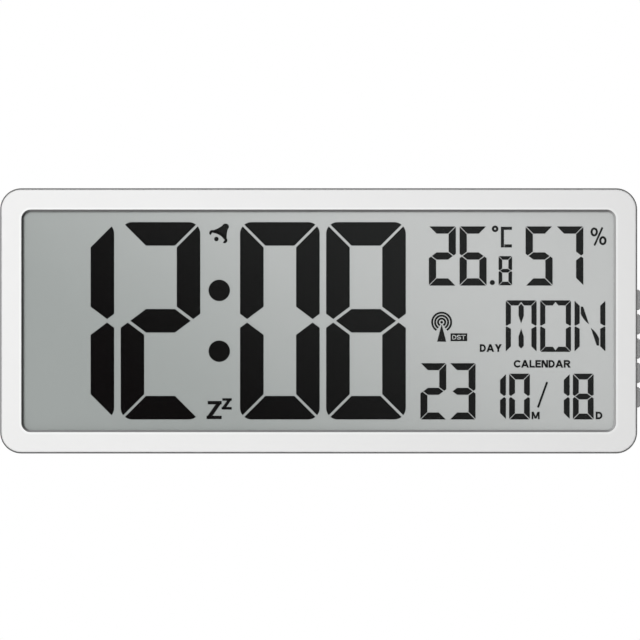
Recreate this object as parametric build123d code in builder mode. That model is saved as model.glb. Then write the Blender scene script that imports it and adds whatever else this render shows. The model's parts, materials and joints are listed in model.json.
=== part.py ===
from build123d import *
import math
import os

# Digital wall clock with a large reflective display, five side buttons, a battery door and two
# fold-out feet. X runs to the right as the front is seen, Z up, and Y points at the wall.
# The origin lies on the wall face, at the middle of the case. A level is a distance in front of
# the wall, so level 10 is the plane Y = -10. All lengths are in millimetres.

# Case
CASE_WIDTH = 366.0
CASE_HEIGHT = 152.4
CASE_DEPTH = 30.0
CASE_WALL = 2.2
CORNER_RADIUS = 12.2
CUT_OVERRUN = 1.0

# Front frame
FRAME_DEPTH = 13.0
FRAME_DRAFT_ANGLE = 3.3
FACE_THICKNESS = 2.6
FACE_EDGE_RADIUS = 0.8
BORDER = 12.2
WINDOW_RADIUS = 5.5
WINDOW_EDGE_RADIUS = 0.4
BEVEL_WIDTH = 1.4
BEVEL_DEPTH = 2.0
TONGUE_WALL = 1.0
TONGUE_HEIGHT = 1.6
SEAM_CLEARANCE = 0.15
FENCE_WALL = 1.0
FENCE_HEIGHT = 3.0
BOSS_DIAMETER = 6.4
BOSS_INSET = 6.0
BOSS_RIB = 2.0
SIDE_BOSS_HEIGHT = 7.0
SIDE_ROOM = 8.0
SIDE_SCREW_SPREAD = 92.0

# Display
GASKET_THICKNESS = 0.8
GASKET_GAP = 0.2
GLASS_THICKNESS = 1.1
GLASS_MARGIN = 1.0
GLASS_CLEARANCE = 0.3
CELL_GAP = 0.2
SEAL_WIDTH = 0.8
LEDGE = 2.6
POLARIZER_THICKNESS = 0.2
REFLECTOR_THICKNESS = 0.3
RETAINER_THICKNESS = 1.6
RETAINER_RAIL = 9.0
RETAINER_WINDOW_COUNT = 5
RETAINER_WINDOW_RADIUS = 3.0
EAR_GAP = 0.4
ZEBRA_WIDTH = 2.0
ZEBRA_LENGTH = 220.0

# Display marks: the window that they are drawn for, their sizes, and their distances inwards from
# that window's right and top edges
ARTWORK_WIDTH = 341.6
ARTWORK_HEIGHT = 128.0
TIME_WIDTH = 45.7
TIME_HEIGHT = 113.3
TIME_STROKE = 13.5
TIME_GAP = 1.4
TIME_CORNER = 6.6
TIME_PITCH = 49.45
TIME_RIGHT = 120.8
TIME_TOP = 7.3
COLON_ROOM = 22.85
COLON_DIAMETER = 12.3
COLON_SHIFT = 11.95
COLON_SPREAD = 34.9
CLIMATE_WIDTH = 15.5
CLIMATE_HEIGHT = 34.0
CLIMATE_STROKE = 4.15
CLIMATE_GAP = 0.42
CLIMATE_CORNER = 0.8
CLIMATE_PITCH = 17.65
CLIMATE_TOP = 9.75
HUMIDITY_RIGHT = 18.85
TEMPERATURE_RIGHT = 74.4
TENTH_WIDTH = 7.75
TENTH_HEIGHT = 16.8
TENTH_STROKE = 2.1
TENTH_GAP = 0.3
TENTH_CORNER = 0.5
TENTH_RIGHT = 59.75
TENTH_TOP = 26.8
POINT_DIAMETER = 2.9
POINT_RIGHT = 71.1
POINT_TOP = 42.0
SECOND_WIDTH = 14.85
SECOND_HEIGHT = 32.3
SECOND_STROKE = 4.0
SECOND_PITCH = 16.8
SECOND_RIGHT = 80.75
SECOND_TOP = 88.3
DATE_WIDTH = 11.9
DATE_HEIGHT = 26.3
DATE_STROKE = 3.35
DATE_PITCH = 13.75
DATE_TOP = 94.3
DAY_RIGHT = 12.95
MONTH_RIGHT = 49.55
LETTER_WIDTH = 17.7
LETTER_HEIGHT = 29.6
LETTER_STROKE = 2.95
LETTER_GAP = 0.3
LETTER_CORNER = 1.0
LETTER_PITCH = 19.75
LETTER_RIGHT = 6.2
LETTER_TOP = 52.2
TIP_SHARE = 0.30
MIDDLE_TIP_SHARE = 0.41
SLOPE_SHARE = 0.75
LETTER_TIP_SHARE = 0.2
LETTER_SLOPE_SHARE = 0.57
NOTCH_SHARE = 0.55
NOTCH_DEPTH_SHARE = 0.7
CENTRE_STROKE_SHARES = (0.064, 0.12, 0.30, 0.45)
DIAGONAL_SHARES = ((0.203, 0.26), (0.203, 0.122), (0.28, 0.122), (0.472, 0.465), (0.331, 0.387))

# Screws: shank and head diameters, head heights and shank lengths
CASE_SCREW = (2.6, 5.0, 1.8, 10.0)
RETAINER_SCREW = (2.2, 4.2, 1.5, 4.4)
BOARD_SCREW = (2.2, 4.2, 1.5, 5.0)
SCREW_FIT = 0.04
SCREW_TIP_ROOM = 0.5
SCREW_SIDE_INSET = 18.0
INNER_SCREW_SHARE = 0.1667
HEAD_CLEARANCE = 0.3
HEAD_SEAT = 3.0

# Main board and what it carries
BOARD_LENGTH = 240.0
BOARD_HEIGHT = 36.0
BOARD_THICKNESS = 1.6
BOARD_RADIUS = 1.5
BOARD_STANDOFF = 2.6
BOARD_SCREW_INSET = 6.0
STANDOFF_DIAMETER = 6.0
BLOB_DIAMETER = 15.0
BLOB_HEIGHT = 2.4
BLOB_SHARE = -0.18
CRYSTAL_LENGTH = 11.0
CRYSTAL_WIDTH = 4.6
CRYSTAL_HEIGHT = 3.5
CRYSTAL_SHARE = 0.04
CAPACITOR_DIAMETER = 6.3
CAPACITOR_HEIGHT = 7.5
CAPACITOR_EDGE = 0.4
CAPACITOR_SHARE = 0.2
HEADER_LENGTH = 8.0
HEADER_HEIGHT = 6.0
HEADER_DEPTH = 5.0
HEADER_INSET = 1.0
HEADER_USES = ("antenna", "battery", "buzzer", "button", "sensor")
HEADER_SHARES = (-0.66, 0.32, 0.5, 0.66, 0.82)

# Rear cover
REAR_FLOOR = 2.2
REAR_EDGE_RADIUS = 3.0
POST_DIAMETER = 8.0
POCKET_WALL = 1.6
KEYHOLE_SPACING = 180.0
KEYHOLE_HEIGHT = 44.0
KEYHOLE_RADIUS = 4.6
KEYHOLE_NECK = 4.6
KEYHOLE_TRAVEL = 9.0
KEYHOLE_ROOM = 1.6
KEYHOLE_DEPTH = 5.2

# Battery bay, door and contacts
BATTERY_DIAMETER = 14.5
BATTERY_LENGTH = 50.5
BATTERY_EDGE = 0.6
NUB_DIAMETER = 5.5
NUB_HEIGHT = 1.0
BATTERY_CLEARANCE = 0.4
BAY_DROP = 26.0
DOOR_THICKNESS = 1.8
DOOR_OVERLAP = 2.6
DOOR_CLEARANCE = 0.3
DOOR_RADIUS = 3.0
COLLAR_DEPTH = 2.2
TAB_WIDTH = 9.0
TAB_SPREAD = 36.0
TAB_REACH = 1.8
TAB_THICKNESS = 1.1
TAB_ROOT = 2.0
TAB_CLEARANCE = 0.4
TAB_ROOM = 2.4
LATCH_WIDTH = 14.0
LATCH_LENGTH = 9.0
LATCH_SLIT = 0.9
GRIP_WIDTH = 10.0
GRIP_LINE = 0.9
GRIP_PITCH = 2.0
GRIP_COUNT = 3
GRIP_DEPTH = 0.5
THUMB_RADIUS = 6.0
THUMB_DEPTH = 1.4
CONTACT_THICKNESS = 0.4
CONTACT_SIZE = 9.6
CONTACT_TAB = 3.0
CONTACT_TAB_LENGTH = 3.2
CONTACT_SLOT_CLEARANCE = 0.15
SPRING_LENGTH = 8.0
SPRING_WIRE = 0.7
SPRING_BASE_RADIUS = 4.0
SPRING_TIP_RADIUS = 3.0
SPRING_QUARTERS = 13
SPRING_BEND = 1.2

# Feet
FOOT_SPREAD = 240.0
FOOT_LENGTH = 52.0
FOOT_WIDTH = 16.0
FOOT_THICKNESS = 5.0
FOOT_RECESS = 0.7
FOOT_CLEARANCE = 0.15
FOOT_SIDE_CLEARANCE = 0.4
FOOT_PIN_HEIGHT = 10.0
FOOT_TIP_RADIUS = 4.0
FOOT_HOLLOW_DEPTH = 2.6
FOOT_HOLLOW_RADIUS = 1.0
FOOT_RIB = 2.0
FINGER_ROOM = 9.0
PIN_DIAMETER = 2.4
PIN_PROUD = 0.8
PIN_FIT = 0.03
PIN_RUNNING_FIT = 0.06
PAD_WIDTH = 10.0
PAD_LENGTH = 8.0
PAD_RADIUS = 1.5
PAD_SINK = 0.6
PAD_PROUD = 0.4
PAD_CLEARANCE = 0.1

# Side buttons and their switches
BUTTON_COUNT = 5
BUTTON_PITCH = 14.0
BUTTON_DROP = 15.95
BUTTON_LENGTH = 11.8
BUTTON_WIDTH = 5.2
BUTTON_LEVEL = 9.8
BUTTON_PROUD = 2.2
BUTTON_EDGE_RADIUS = 1.9
BUTTON_CLEARANCE = 0.3
BUTTON_TRAVEL = 0.5
FLANGE_LIP = 0.8
FLANGE_THICKNESS = 1.2
STEM_DIAMETER = 3.0
STEM_LENGTH = 1.2
PLUNGER_DIAMETER = 3.2
PLUNGER_LENGTH = 2.2
PLUNGER_PROUD = 1.2
PLUNGER_FIT = 0.06
SWITCH_SIZE = 6.0
SWITCH_THICKNESS = 3.4
BUTTON_BOARD_DEPTH = 13.0
BUTTON_BOARD_MARGIN = 9.0
GUIDE_WALL = 1.6
GUIDE_REACH = 2.5
GUIDE_HEIGHT = 8.0
GUIDE_CLEARANCE = 0.1

# Radio antenna, buzzer and climate sensor
ROD_DIAMETER = 8.0
ROD_LENGTH = 60.0
ROD_LEVEL = 10.0
ROD_HEIGHT = 18.0
ROD_FIT = 0.1
COIL_DIAMETER = 11.6
COIL_LENGTH = 24.0
ANTENNA_X = -72.0
CRADLE_WIDTH = 12.0
CRADLE_THICKNESS = 4.0
CRADLE_INSET = 8.0
SMALL_BOARD_THICKNESS = 1.0
STAKE_DIAMETER = 4.0
STAKE_HEIGHT = 5.0
STAKE_PIN = 1.6
STAKE_PIN_HEIGHT = 1.6
STAKE_CLEARANCE = 0.1
STAKE_INSET = 3.0
RECEIVER_LENGTH = 24.0
RECEIVER_HEIGHT = 16.0
RECEIVER_RISE = 26.2
SENSOR_LENGTH = 18.0
SENSOR_HEIGHT = 14.0
SENSOR_INSET = 35.0
SENSOR_RISE = 46.0
SENSOR_CHIP = 3.4
SENSOR_CHIP_HEIGHT = 1.2
VENT_WIDTH = 1.8
VENT_LENGTH = 18.0
VENT_PITCH = 4.2
VENT_COUNT = 6
BUZZER_X = 76.0
BUZZER_DROP = 34.0
BUZZER_DIAMETER = 27.0
BUZZER_THICKNESS = 0.4
CERAMIC_DIAMETER = 20.0
CERAMIC_THICKNESS = 0.3
BUZZER_WALL = 1.6
BUZZER_LEDGE = 1.4
BUZZER_RISE = 2.4
BUZZER_LIP = 1.6
BUZZER_CLEARANCE = 0.2
SOUND_HOLE = 2.4
SOUND_RING = 6.0
SOUND_COUNT = 6

# Inner leads
LEAD_DIAMETER = 1.3
LEAD_SPACING = 3.0
LEAD_DROP = 15.0
LEAD_RUN = 11.0
LEAD_BEND_SHARE = 0.45

# Levels and outlines worked out from the sizes above
half_width = CASE_WIDTH / 2
half_height = CASE_HEIGHT / 2
inner_x = half_width - CASE_WALL
inside = (CASE_WIDTH - 2 * CASE_WALL, CASE_HEIGHT - 2 * CASE_WALL, CORNER_RADIUS - CASE_WALL)
parting = CASE_DEPTH - FRAME_DEPTH
face_back = CASE_DEPTH - FACE_THICKNESS
window_width = CASE_WIDTH - 2 * BORDER
window_height = CASE_HEIGHT - 2 * BORDER
across_scale = window_width / ARTWORK_WIDTH
down_scale = window_height / ARTWORK_HEIGHT
stroke_scale = min(across_scale, down_scale)
glass_width = CASE_WIDTH - 2 * (CASE_WALL + SIDE_ROOM)
glass_height = CASE_HEIGHT - 2 * (BOSS_INSET + BOSS_DIAMETER / 2 + GLASS_MARGIN)
glass_front = face_back - GASKET_THICKNESS
cell_front = glass_front - GLASS_THICKNESS
cell_back = cell_front - CELL_GAP
rear_glass_back = cell_back - GLASS_THICKNESS
reflector_back = rear_glass_back - REFLECTOR_THICKNESS
retainer_back = reflector_back - RETAINER_THICKNESS
board_front = retainer_back - BOARD_STANDOFF
board_back = board_front - BOARD_THICKNESS
rear_glass_height = glass_height - LEDGE
rear_glass_z = -LEDGE / 2
board_z = (glass_height - BOARD_HEIGHT) / 2
board_low = board_z - BOARD_HEIGHT / 2

case_screw_z = half_height - BOSS_INSET
case_screw_xs = (half_width - SCREW_SIDE_INSET, CASE_WIDTH * INNER_SCREW_SHARE)
case_screw_zs = (-case_screw_z, case_screw_z)
case_screw_places = [(s * x, z) for x in case_screw_xs for s in (-1, 1) for z in case_screw_zs]
side_boss_x = inner_x - SIDE_ROOM / 2
side_screw_zs = (-SIDE_SCREW_SPREAD / 2, 0, SIDE_SCREW_SPREAD / 2)
side_screw_places = [(s * side_boss_x, z) for s in (-1, 1) for z in side_screw_zs]
board_screw_x = BOARD_LENGTH / 2 - BOARD_SCREW_INSET
board_screw_rise = BOARD_HEIGHT / 2 - BOARD_SCREW_INSET
board_screw_zs = (board_z - board_screw_rise, board_z + board_screw_rise)
board_screw_places = [(s * board_screw_x, z) for s in (-1, 1) for z in board_screw_zs]

bay_z = -BAY_DROP
bay_length = BATTERY_LENGTH + SPRING_LENGTH + 2 * CONTACT_THICKNESS
bay_height = 2 * BATTERY_DIAMETER + 3 * BATTERY_CLEARANCE
battery_level = DOOR_THICKNESS + BATTERY_CLEARANCE + BATTERY_DIAMETER / 2
battery_rise = (BATTERY_DIAMETER + BATTERY_CLEARANCE) / 2
bay_floor = battery_level + BATTERY_DIAMETER / 2 + BATTERY_CLEARANCE
door_length = bay_length + 2 * DOOR_OVERLAP
door_height = bay_height + 2 * DOOR_OVERLAP
door_low = bay_z - door_height / 2
door_high = bay_z + door_height / 2
collar_level = DOOR_THICKNESS + COLLAR_DEPTH
tab_front = REAR_FLOOR + DOOR_CLEARANCE + TAB_THICKNESS

foot_pin_z = FOOT_PIN_HEIGHT - half_height
foot_tip_z = foot_pin_z + FOOT_LENGTH
foot_pin_level = FOOT_RECESS + FOOT_THICKNESS / 2
foot_inner_level = FOOT_RECESS + FOOT_THICKNESS
foot_floor = foot_inner_level + FOOT_CLEARANCE
foot_pocket_low = foot_pin_z - FOOT_THICKNESS / math.sqrt(2) - FOOT_SIDE_CLEARANCE
foot_pocket_high = foot_tip_z + FINGER_ROOM
foot_pocket_width = FOOT_WIDTH + 2 * FOOT_SIDE_CLEARANCE
foot_pocket_height = foot_pocket_high - foot_pocket_low
foot_pocket_z = (foot_pocket_high + foot_pocket_low) / 2
foot_places = {"left_foot": -FOOT_SPREAD / 2, "right_foot": FOOT_SPREAD / 2}
pin_length = foot_pocket_width + 2 * (POCKET_WALL + PIN_PROUD)

button_heights = [-BUTTON_DROP + BUTTON_PITCH * (BUTTON_COUNT - 1 - 2 * i) / 2 for i in range(BUTTON_COUNT)]
flange_x = inner_x - FLANGE_THICKNESS
stem_x = flange_x - STEM_LENGTH
switch_x = stem_x - PLUNGER_PROUD
button_board_x = switch_x - SWITCH_THICKNESS
button_board_height = BUTTON_PITCH * (BUTTON_COUNT - 1) + 2 * BUTTON_BOARD_MARGIN
button_board_top = button_board_height / 2 - BUTTON_DROP

rod_z = ROD_HEIGHT - half_height
stake_level = REAR_FLOOR + STAKE_HEIGHT
receiver_z = rod_z + RECEIVER_RISE
receiver_place = (ANTENNA_X, receiver_z)
sensor_x = half_width - SENSOR_INSET
sensor_place = (sensor_x, SENSOR_RISE)
buzzer_place = (BUZZER_X, -BUZZER_DROP)
buzzer_level = REAR_FLOOR + BUZZER_RISE
keyhole_places = [(-KEYHOLE_SPACING / 2, KEYHOLE_HEIGHT), (KEYHOLE_SPACING / 2, KEYHOLE_HEIGHT)]
keyhole_pocket_width = 2 * (KEYHOLE_RADIUS + KEYHOLE_ROOM)
keyhole_pocket_height = keyhole_pocket_width + KEYHOLE_TRAVEL
keyhole_pocket_level = REAR_FLOOR + KEYHOLE_DEPTH

os.makedirs("parts", exist_ok=True)


def save(part, name):
    """Label one finished piece and write it to its own file."""
    part.label = name
    export_step(part, f"parts/{name}.step")


def at_level(level):
    """Plane parallel to the wall, seen from the front, at a level in front of it."""
    return Plane.XZ.offset(level)


def panels(width, height, radius, level, *places):
    """Rounded rectangles parallel to the wall, one at each (x, z) place."""
    with BuildSketch(at_level(level)) as outline:
        with Locations(*(places or [(0, 0)])):
            RectangleRounded(width, height, radius)
    return outline.sketch


def blocks(width, height, level, *places):
    """Sharp rectangles parallel to the wall, one at each (x, z) place."""
    with BuildSketch(at_level(level)) as outline:
        with Locations(*places):
            Rectangle(width, height)
    return outline.sketch


def discs(diameter, level, *places):
    """Circles parallel to the wall, one at each (x, z) place."""
    with BuildSketch(at_level(level)) as outline:
        with Locations(*places):
            Circle(diameter / 2)
    return outline.sketch


def round_section(diameter, x, level, z):
    """Circle square to X, the end of a bar that runs along X."""
    with BuildSketch(Plane.YZ.offset(x)) as outline:
        with Locations((-level, z)):
            Circle(diameter / 2)
    return outline.sketch


def flat_section(depth, height, x, level, z):
    """Rectangle square to X, depth along Y and height along Z."""
    with BuildSketch(Plane.YZ.offset(x)) as outline:
        with Locations((-level, z)):
            Rectangle(depth, height)
    return outline.sketch


def button_section(length, width, x, z):
    """Upright slot shape square to X, at the depth of the side buttons."""
    with BuildSketch(Plane.YZ.offset(x)) as outline:
        with Locations((-BUTTON_LEVEL, z)):
            SlotOverall(length, width, rotation=90)
    return outline.sketch


# Front frame: face with a sloped window, side walls, display fence and screw bosses
with BuildPart() as front_frame:
    outer = panels(CASE_WIDTH, CASE_HEIGHT, CORNER_RADIUS, parting)
    extrude(outer, amount=FRAME_DEPTH, taper=FRAME_DRAFT_ANGLE)
    fillet(front_frame.faces().sort_by(Axis.Y)[0].edges(), radius=FACE_EDGE_RADIUS)
    extrude(panels(*inside, parting), amount=FRAME_DEPTH - FACE_THICKNESS, mode=Mode.SUBTRACT)
    fence_gap = 2 * GLASS_CLEARANCE
    fence_side = fence_gap + 2 * FENCE_WALL
    with BuildSketch(at_level(face_back)) as fence:
        Rectangle(glass_width + fence_side, glass_height + fence_side)
        Rectangle(glass_width + fence_gap, glass_height + fence_gap, mode=Mode.SUBTRACT)
    extrude(amount=-FENCE_HEIGHT)
    with BuildSketch(at_level(face_back)) as bosses:
        with Locations(*case_screw_places):
            Circle(BOSS_DIAMETER / 2)
        rib_reach = BOSS_INSET - CASE_WALL
        rib_z = half_height - CASE_WALL - rib_reach / 2
        with Locations(*[(x, math.copysign(rib_z, z)) for x, z in case_screw_places]):
            Rectangle(BOSS_RIB, rib_reach)
    extrude(amount=parting - face_back)
    side_boss = blocks(SIDE_ROOM, SIDE_BOSS_HEIGHT, face_back, *side_screw_places)
    extrude(side_boss, amount=reflector_back - face_back)
    glass_room = blocks(glass_width + fence_gap, glass_height + fence_gap, face_back, (0, 0))
    extrude(glass_room, amount=parting - face_back, mode=Mode.SUBTRACT)
    rabbet_cut = CASE_WALL - TONGUE_WALL
    with BuildSketch(at_level(parting)) as rabbet:
        rabbet_radius = CORNER_RADIUS - rabbet_cut
        RectangleRounded(CASE_WIDTH - 2 * rabbet_cut, CASE_HEIGHT - 2 * rabbet_cut, rabbet_radius)
        RectangleRounded(*[side - 2 * SEAM_CLEARANCE for side in inside], mode=Mode.SUBTRACT)
    extrude(amount=TONGUE_HEIGHT + SEAM_CLEARANCE, mode=Mode.SUBTRACT)
    bevel_low = CASE_DEPTH - BEVEL_DEPTH
    bevel_radius = WINDOW_RADIUS - BEVEL_WIDTH
    bevel_size = (window_width - 2 * BEVEL_WIDTH, window_height - 2 * BEVEL_WIDTH, bevel_radius)
    window_front = panels(window_width, window_height, WINDOW_RADIUS, CASE_DEPTH)
    window_back = panels(*bevel_size, bevel_low)
    loft([window_front.face(), window_back.face()], mode=Mode.SUBTRACT)
    extrude(window_back, amount=face_back - CUT_OVERRUN - bevel_low, mode=Mode.SUBTRACT)
    rim = front_frame.faces().sort_by(Axis.Y)[0].inner_wires()[0]
    fillet(rim.edges(), radius=WINDOW_EDGE_RADIUS)
    shank, head, head_height, length = CASE_SCREW
    pilot = discs(shank + 2 * SCREW_FIT, parting, *case_screw_places)
    extrude(pilot, amount=length - HEAD_SEAT + SCREW_TIP_ROOM, mode=Mode.SUBTRACT)
    shank, head, head_height, length = RETAINER_SCREW
    pilot = discs(shank + 2 * SCREW_FIT, reflector_back, *side_screw_places)
    extrude(pilot, amount=length - RETAINER_THICKNESS + SCREW_TIP_ROOM, mode=Mode.SUBTRACT)
save(front_frame.part, "front_frame")

# Display stack, front to back
with BuildPart() as lcd_gasket:
    with BuildSketch(at_level(glass_front)):
        Rectangle(glass_width, glass_height)
        opening_gap = 2 * GASKET_GAP
        opening = (window_width + opening_gap, window_height + opening_gap, WINDOW_RADIUS + GASKET_GAP)
        RectangleRounded(*opening, mode=Mode.SUBTRACT)
    extrude(amount=GASKET_THICKNESS)
save(lcd_gasket.part, "lcd_gasket")

with BuildPart() as lcd_front_polarizer:
    extrude(panels(window_width, window_height, WINDOW_RADIUS, glass_front), amount=POLARIZER_THICKNESS)
save(lcd_front_polarizer.part, "lcd_front_polarizer")

with BuildPart() as lcd_front_glass:
    extrude(blocks(glass_width, glass_height, cell_front, (0, 0)), amount=GLASS_THICKNESS)
save(lcd_front_glass.part, "lcd_front_glass")

with BuildPart() as lcd_seal:
    with BuildSketch(at_level(cell_back)):
        with Locations((0, rear_glass_z)):
            Rectangle(glass_width, rear_glass_height)
            seal_hollow = (glass_width - 2 * SEAL_WIDTH, rear_glass_height - 2 * SEAL_WIDTH)
            Rectangle(*seal_hollow, mode=Mode.SUBTRACT)
    extrude(amount=CELL_GAP)
save(lcd_seal.part, "lcd_seal")

with BuildPart() as lcd_rear_glass:
    rear_pane = blocks(glass_width, rear_glass_height, rear_glass_back, (0, rear_glass_z))
    extrude(rear_pane, amount=GLASS_THICKNESS)
save(lcd_rear_glass.part, "lcd_rear_glass")

with BuildPart() as lcd_reflector:
    film = blocks(glass_width, rear_glass_height, reflector_back, (0, rear_glass_z))
    extrude(film, amount=REFLECTOR_THICKNESS)
save(lcd_reflector.part, "lcd_reflector")

# Seven-segment figures: which of the segments a to g each one lights
LIT = {
    "0": "abcdef",
    "1": "bc",
    "2": "abged",
    "3": "abgcd",
    "5": "afgcd",
    "6": "afgedc",
    "7": "abc",
    "8": "abcdefg",
    "M": "abcef",
    "N": "bcef",
    "O": "abcdef",
}


def segment_outlines(width, height, stroke, gap, tip, slope):
    """Outlines of segments a to g in a cell whose lower left corner is the origin.

    Corners are mitred at 45 degrees with a gap across them. The uprights end in an uneven point
    at mid height, tip strokes in from the outer edge, and the middle bar is a hexagon.
    """
    shift = gap / math.sqrt(2)
    middle = height / 2
    tip_x = tip * stroke
    bar_tip = tip_x + (MIDDLE_TIP_SHARE - TIP_SHARE) * stroke
    bar_run = stroke / (2 * slope)
    upright = [
        (0, middle + shift + slope * tip_x),
        (tip_x, middle + shift),
        (stroke, middle + shift + slope * (stroke - tip_x)),
        (stroke, height - stroke - shift),
        (0, height - shift),
    ]
    top = [
        (shift, height),
        (stroke + shift, height - stroke),
        (width - stroke - shift, height - stroke),
        (width - shift, height),
    ]
    bar_half = [(bar_tip, middle), (bar_tip + bar_run, middle + stroke / 2)]
    bar_top = bar_half + [(width - x, y) for x, y in reversed(bar_half)]
    bar_low = [(x, height - y) for x, y in reversed(bar_top)][1:-1]
    return {
        "a": top,
        "b": [(width - x, y) for x, y in upright],
        "c": [(width - x, height - y) for x, y in upright],
        "d": [(x, height - y) for x, y in top],
        "e": [(x, height - y) for x, y in upright],
        "f": upright,
        "g": bar_top + bar_low,
    }


def cell_fit(right, top, width, height):
    """Place and size of a cell of the artwork, stretched to the window."""
    return across_scale * right, down_scale * top, across_scale * width, down_scale * height


def stroke_fit(*sizes):
    """Stroke sizes of the artwork, which keep their proportions."""
    return [stroke_scale * size for size in sizes]


def cell_plane(right, top, width, height):
    """Plane of one display cell, with its lower left corner as the origin."""
    x = window_width / 2 - right - width
    z = window_height / 2 - top - height
    return Plane(origin=(x, -cell_back, z), x_dir=(1, 0, 0), z_dir=(0, -1, 0))


def figure(mark, right, top, width, height, stroke, gap, corner, tip=TIP_SHARE, slope=SLOPE_SHARE):
    """Lit segments of one figure, with the outer corners of its cell rounded."""
    right, top, width, height = cell_fit(right, top, width, height)
    stroke, gap, corner = stroke_fit(stroke, gap, corner)
    outlines = segment_outlines(width, height, stroke, gap, tip, slope)
    with BuildSketch(cell_plane(right, top, width, height)) as cell:
        for segment in LIT[mark]:
            Polygon(*outlines[segment], align=None)
        with Locations((width / 2, height / 2)):
            RectangleRounded(width, height, corner, mode=Mode.INTERSECT)
    return cell.sketch


def figures(text, right, top, width, height, stroke, gap, corner, pitch):
    """A row of figures, the last of them ending at right."""
    count = len(text)
    return [
        figure(mark, right + pitch * (count - 1 - i), top, width, height, stroke, gap, corner)
        for i, mark in enumerate(text)
    ]


def dot(diameter, right, top):
    """A round mark whose centre lies right and top inside the window's corner."""
    centre = window_width / 2 - across_scale * right, window_height / 2 - down_scale * top
    return discs(stroke_scale * diameter, cell_back, centre)


def weekday_letter(mark, right):
    """A letter of the weekday: edge segments, with the inner strokes of M and N and notched bars."""
    right, top, width, height = cell_fit(right, LETTER_TOP, LETTER_WIDTH, LETTER_HEIGHT)
    stroke, gap, corner = stroke_fit(LETTER_STROKE, LETTER_GAP, LETTER_CORNER)
    outlines = segment_outlines(width, height, stroke, gap, LETTER_TIP_SHARE, LETTER_SLOPE_SHARE)
    centre = width / 2
    with BuildSketch(cell_plane(right, top, width, height)) as cell:
        for segment in LIT[mark]:
            Polygon(*outlines[segment], align=None)
        with Locations((centre, height / 2)):
            RectangleRounded(width, height, corner, mode=Mode.INTERSECT)
        notch_half = NOTCH_SHARE * stroke
        notch_end = (1 - NOTCH_DEPTH_SHARE) * stroke
        notch = [(centre - notch_half, stroke), (centre + notch_half, stroke), (centre, notch_end)]
        Polygon(*notch, align=None, mode=Mode.SUBTRACT)
        Polygon(*[(x, height - y) for x, y in notch], align=None, mode=Mode.SUBTRACT)
        if mark == "M":
            tip, shoulder, waist, point = (share * height for share in CENTRE_STROKE_SHARES)
            edge = centre + stroke / 2
            side = [(centre, tip), (edge, shoulder), (edge, waist), (centre, point)]
            mirrored = [(width - x, y) for x, y in reversed(side)][1:-1]
            Polygon(*(side + mirrored), align=None)
            Polygon(*[(x, height - y) for x, y in side + mirrored], align=None)
        if mark == "N":
            upper = [(x * width, height - y * height) for x, y in DIAGONAL_SHARES]
            for foot, head, lean, end, belly in (upper, [(width - x, height - y) for x, y in upper]):
                with BuildLine():
                    Polyline(foot, head, lean, end)
                    ThreePointArc(end, belly, foot)
                make_face()
    return cell.sketch


# Lit segments, lying between the two glass plates
with BuildPart() as time_segments:
    time_shape = (TIME_WIDTH, TIME_HEIGHT, TIME_STROKE, TIME_GAP, TIME_CORNER)
    minutes = figures("08", TIME_RIGHT, TIME_TOP, *time_shape, TIME_PITCH)
    minutes_left = TIME_RIGHT + TIME_PITCH + TIME_WIDTH
    hours_right = minutes_left + COLON_ROOM
    hours = figures("12", hours_right, TIME_TOP, *time_shape, TIME_PITCH)
    colon_drop = TIME_TOP + TIME_HEIGHT / 2
    colon_drops = (colon_drop - COLON_SPREAD / 2, colon_drop + COLON_SPREAD / 2)
    colon = [dot(COLON_DIAMETER, minutes_left + COLON_SHIFT, drop) for drop in colon_drops]
    for mark in minutes + hours + colon:
        extrude(mark, amount=CELL_GAP)
save(time_segments.part, "time_segments")

with BuildPart() as climate_segments:
    climate_shape = (CLIMATE_WIDTH, CLIMATE_HEIGHT, CLIMATE_STROKE, CLIMATE_GAP, CLIMATE_CORNER)
    temperature = figures("26", TEMPERATURE_RIGHT, CLIMATE_TOP, *climate_shape, CLIMATE_PITCH)
    humidity = figures("57", HUMIDITY_RIGHT, CLIMATE_TOP, *climate_shape, CLIMATE_PITCH)
    tenth_shape = (TENTH_WIDTH, TENTH_HEIGHT, TENTH_STROKE, TENTH_GAP, TENTH_CORNER)
    tenth = figure("8", TENTH_RIGHT, TENTH_TOP, *tenth_shape)
    point = dot(POINT_DIAMETER, POINT_RIGHT, POINT_TOP)
    for mark in temperature + humidity + [tenth, point]:
        extrude(mark, amount=CELL_GAP)
save(climate_segments.part, "climate_segments")

with BuildPart() as calendar_segments:
    second_shape = (SECOND_WIDTH, SECOND_HEIGHT, SECOND_STROKE, CLIMATE_GAP, CLIMATE_CORNER)
    date_shape = (DATE_WIDTH, DATE_HEIGHT, DATE_STROKE, CLIMATE_GAP, CLIMATE_CORNER)
    seconds = figures("23", SECOND_RIGHT, SECOND_TOP, *second_shape, SECOND_PITCH)
    month = figures("10", MONTH_RIGHT, DATE_TOP, *date_shape, DATE_PITCH)
    day = figures("18", DAY_RIGHT, DATE_TOP, *date_shape, DATE_PITCH)
    weekday = [weekday_letter(mark, LETTER_RIGHT + LETTER_PITCH * i) for i, mark in enumerate("NOM")]
    for mark in seconds + month + day + weekday:
        extrude(mark, amount=CELL_GAP)
save(calendar_segments.part, "calendar_segments")


def screw_set(places, seat, sizes, name):
    """Pan-head screws in one node, heads on the seat level and shanks running to the front."""
    shank_diameter, head_diameter, head_depth, shank_length = sizes
    with BuildPart() as screws:
        extrude(discs(head_diameter, seat, *places), amount=-head_depth)
        chamfer(screws.edges().filter_by(GeomType.CIRCLE).group_by(Axis.Y)[-1], length=head_depth / 3)
        extrude(discs(shank_diameter, seat, *places), amount=shank_length)
    save(screws.part, name)


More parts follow.
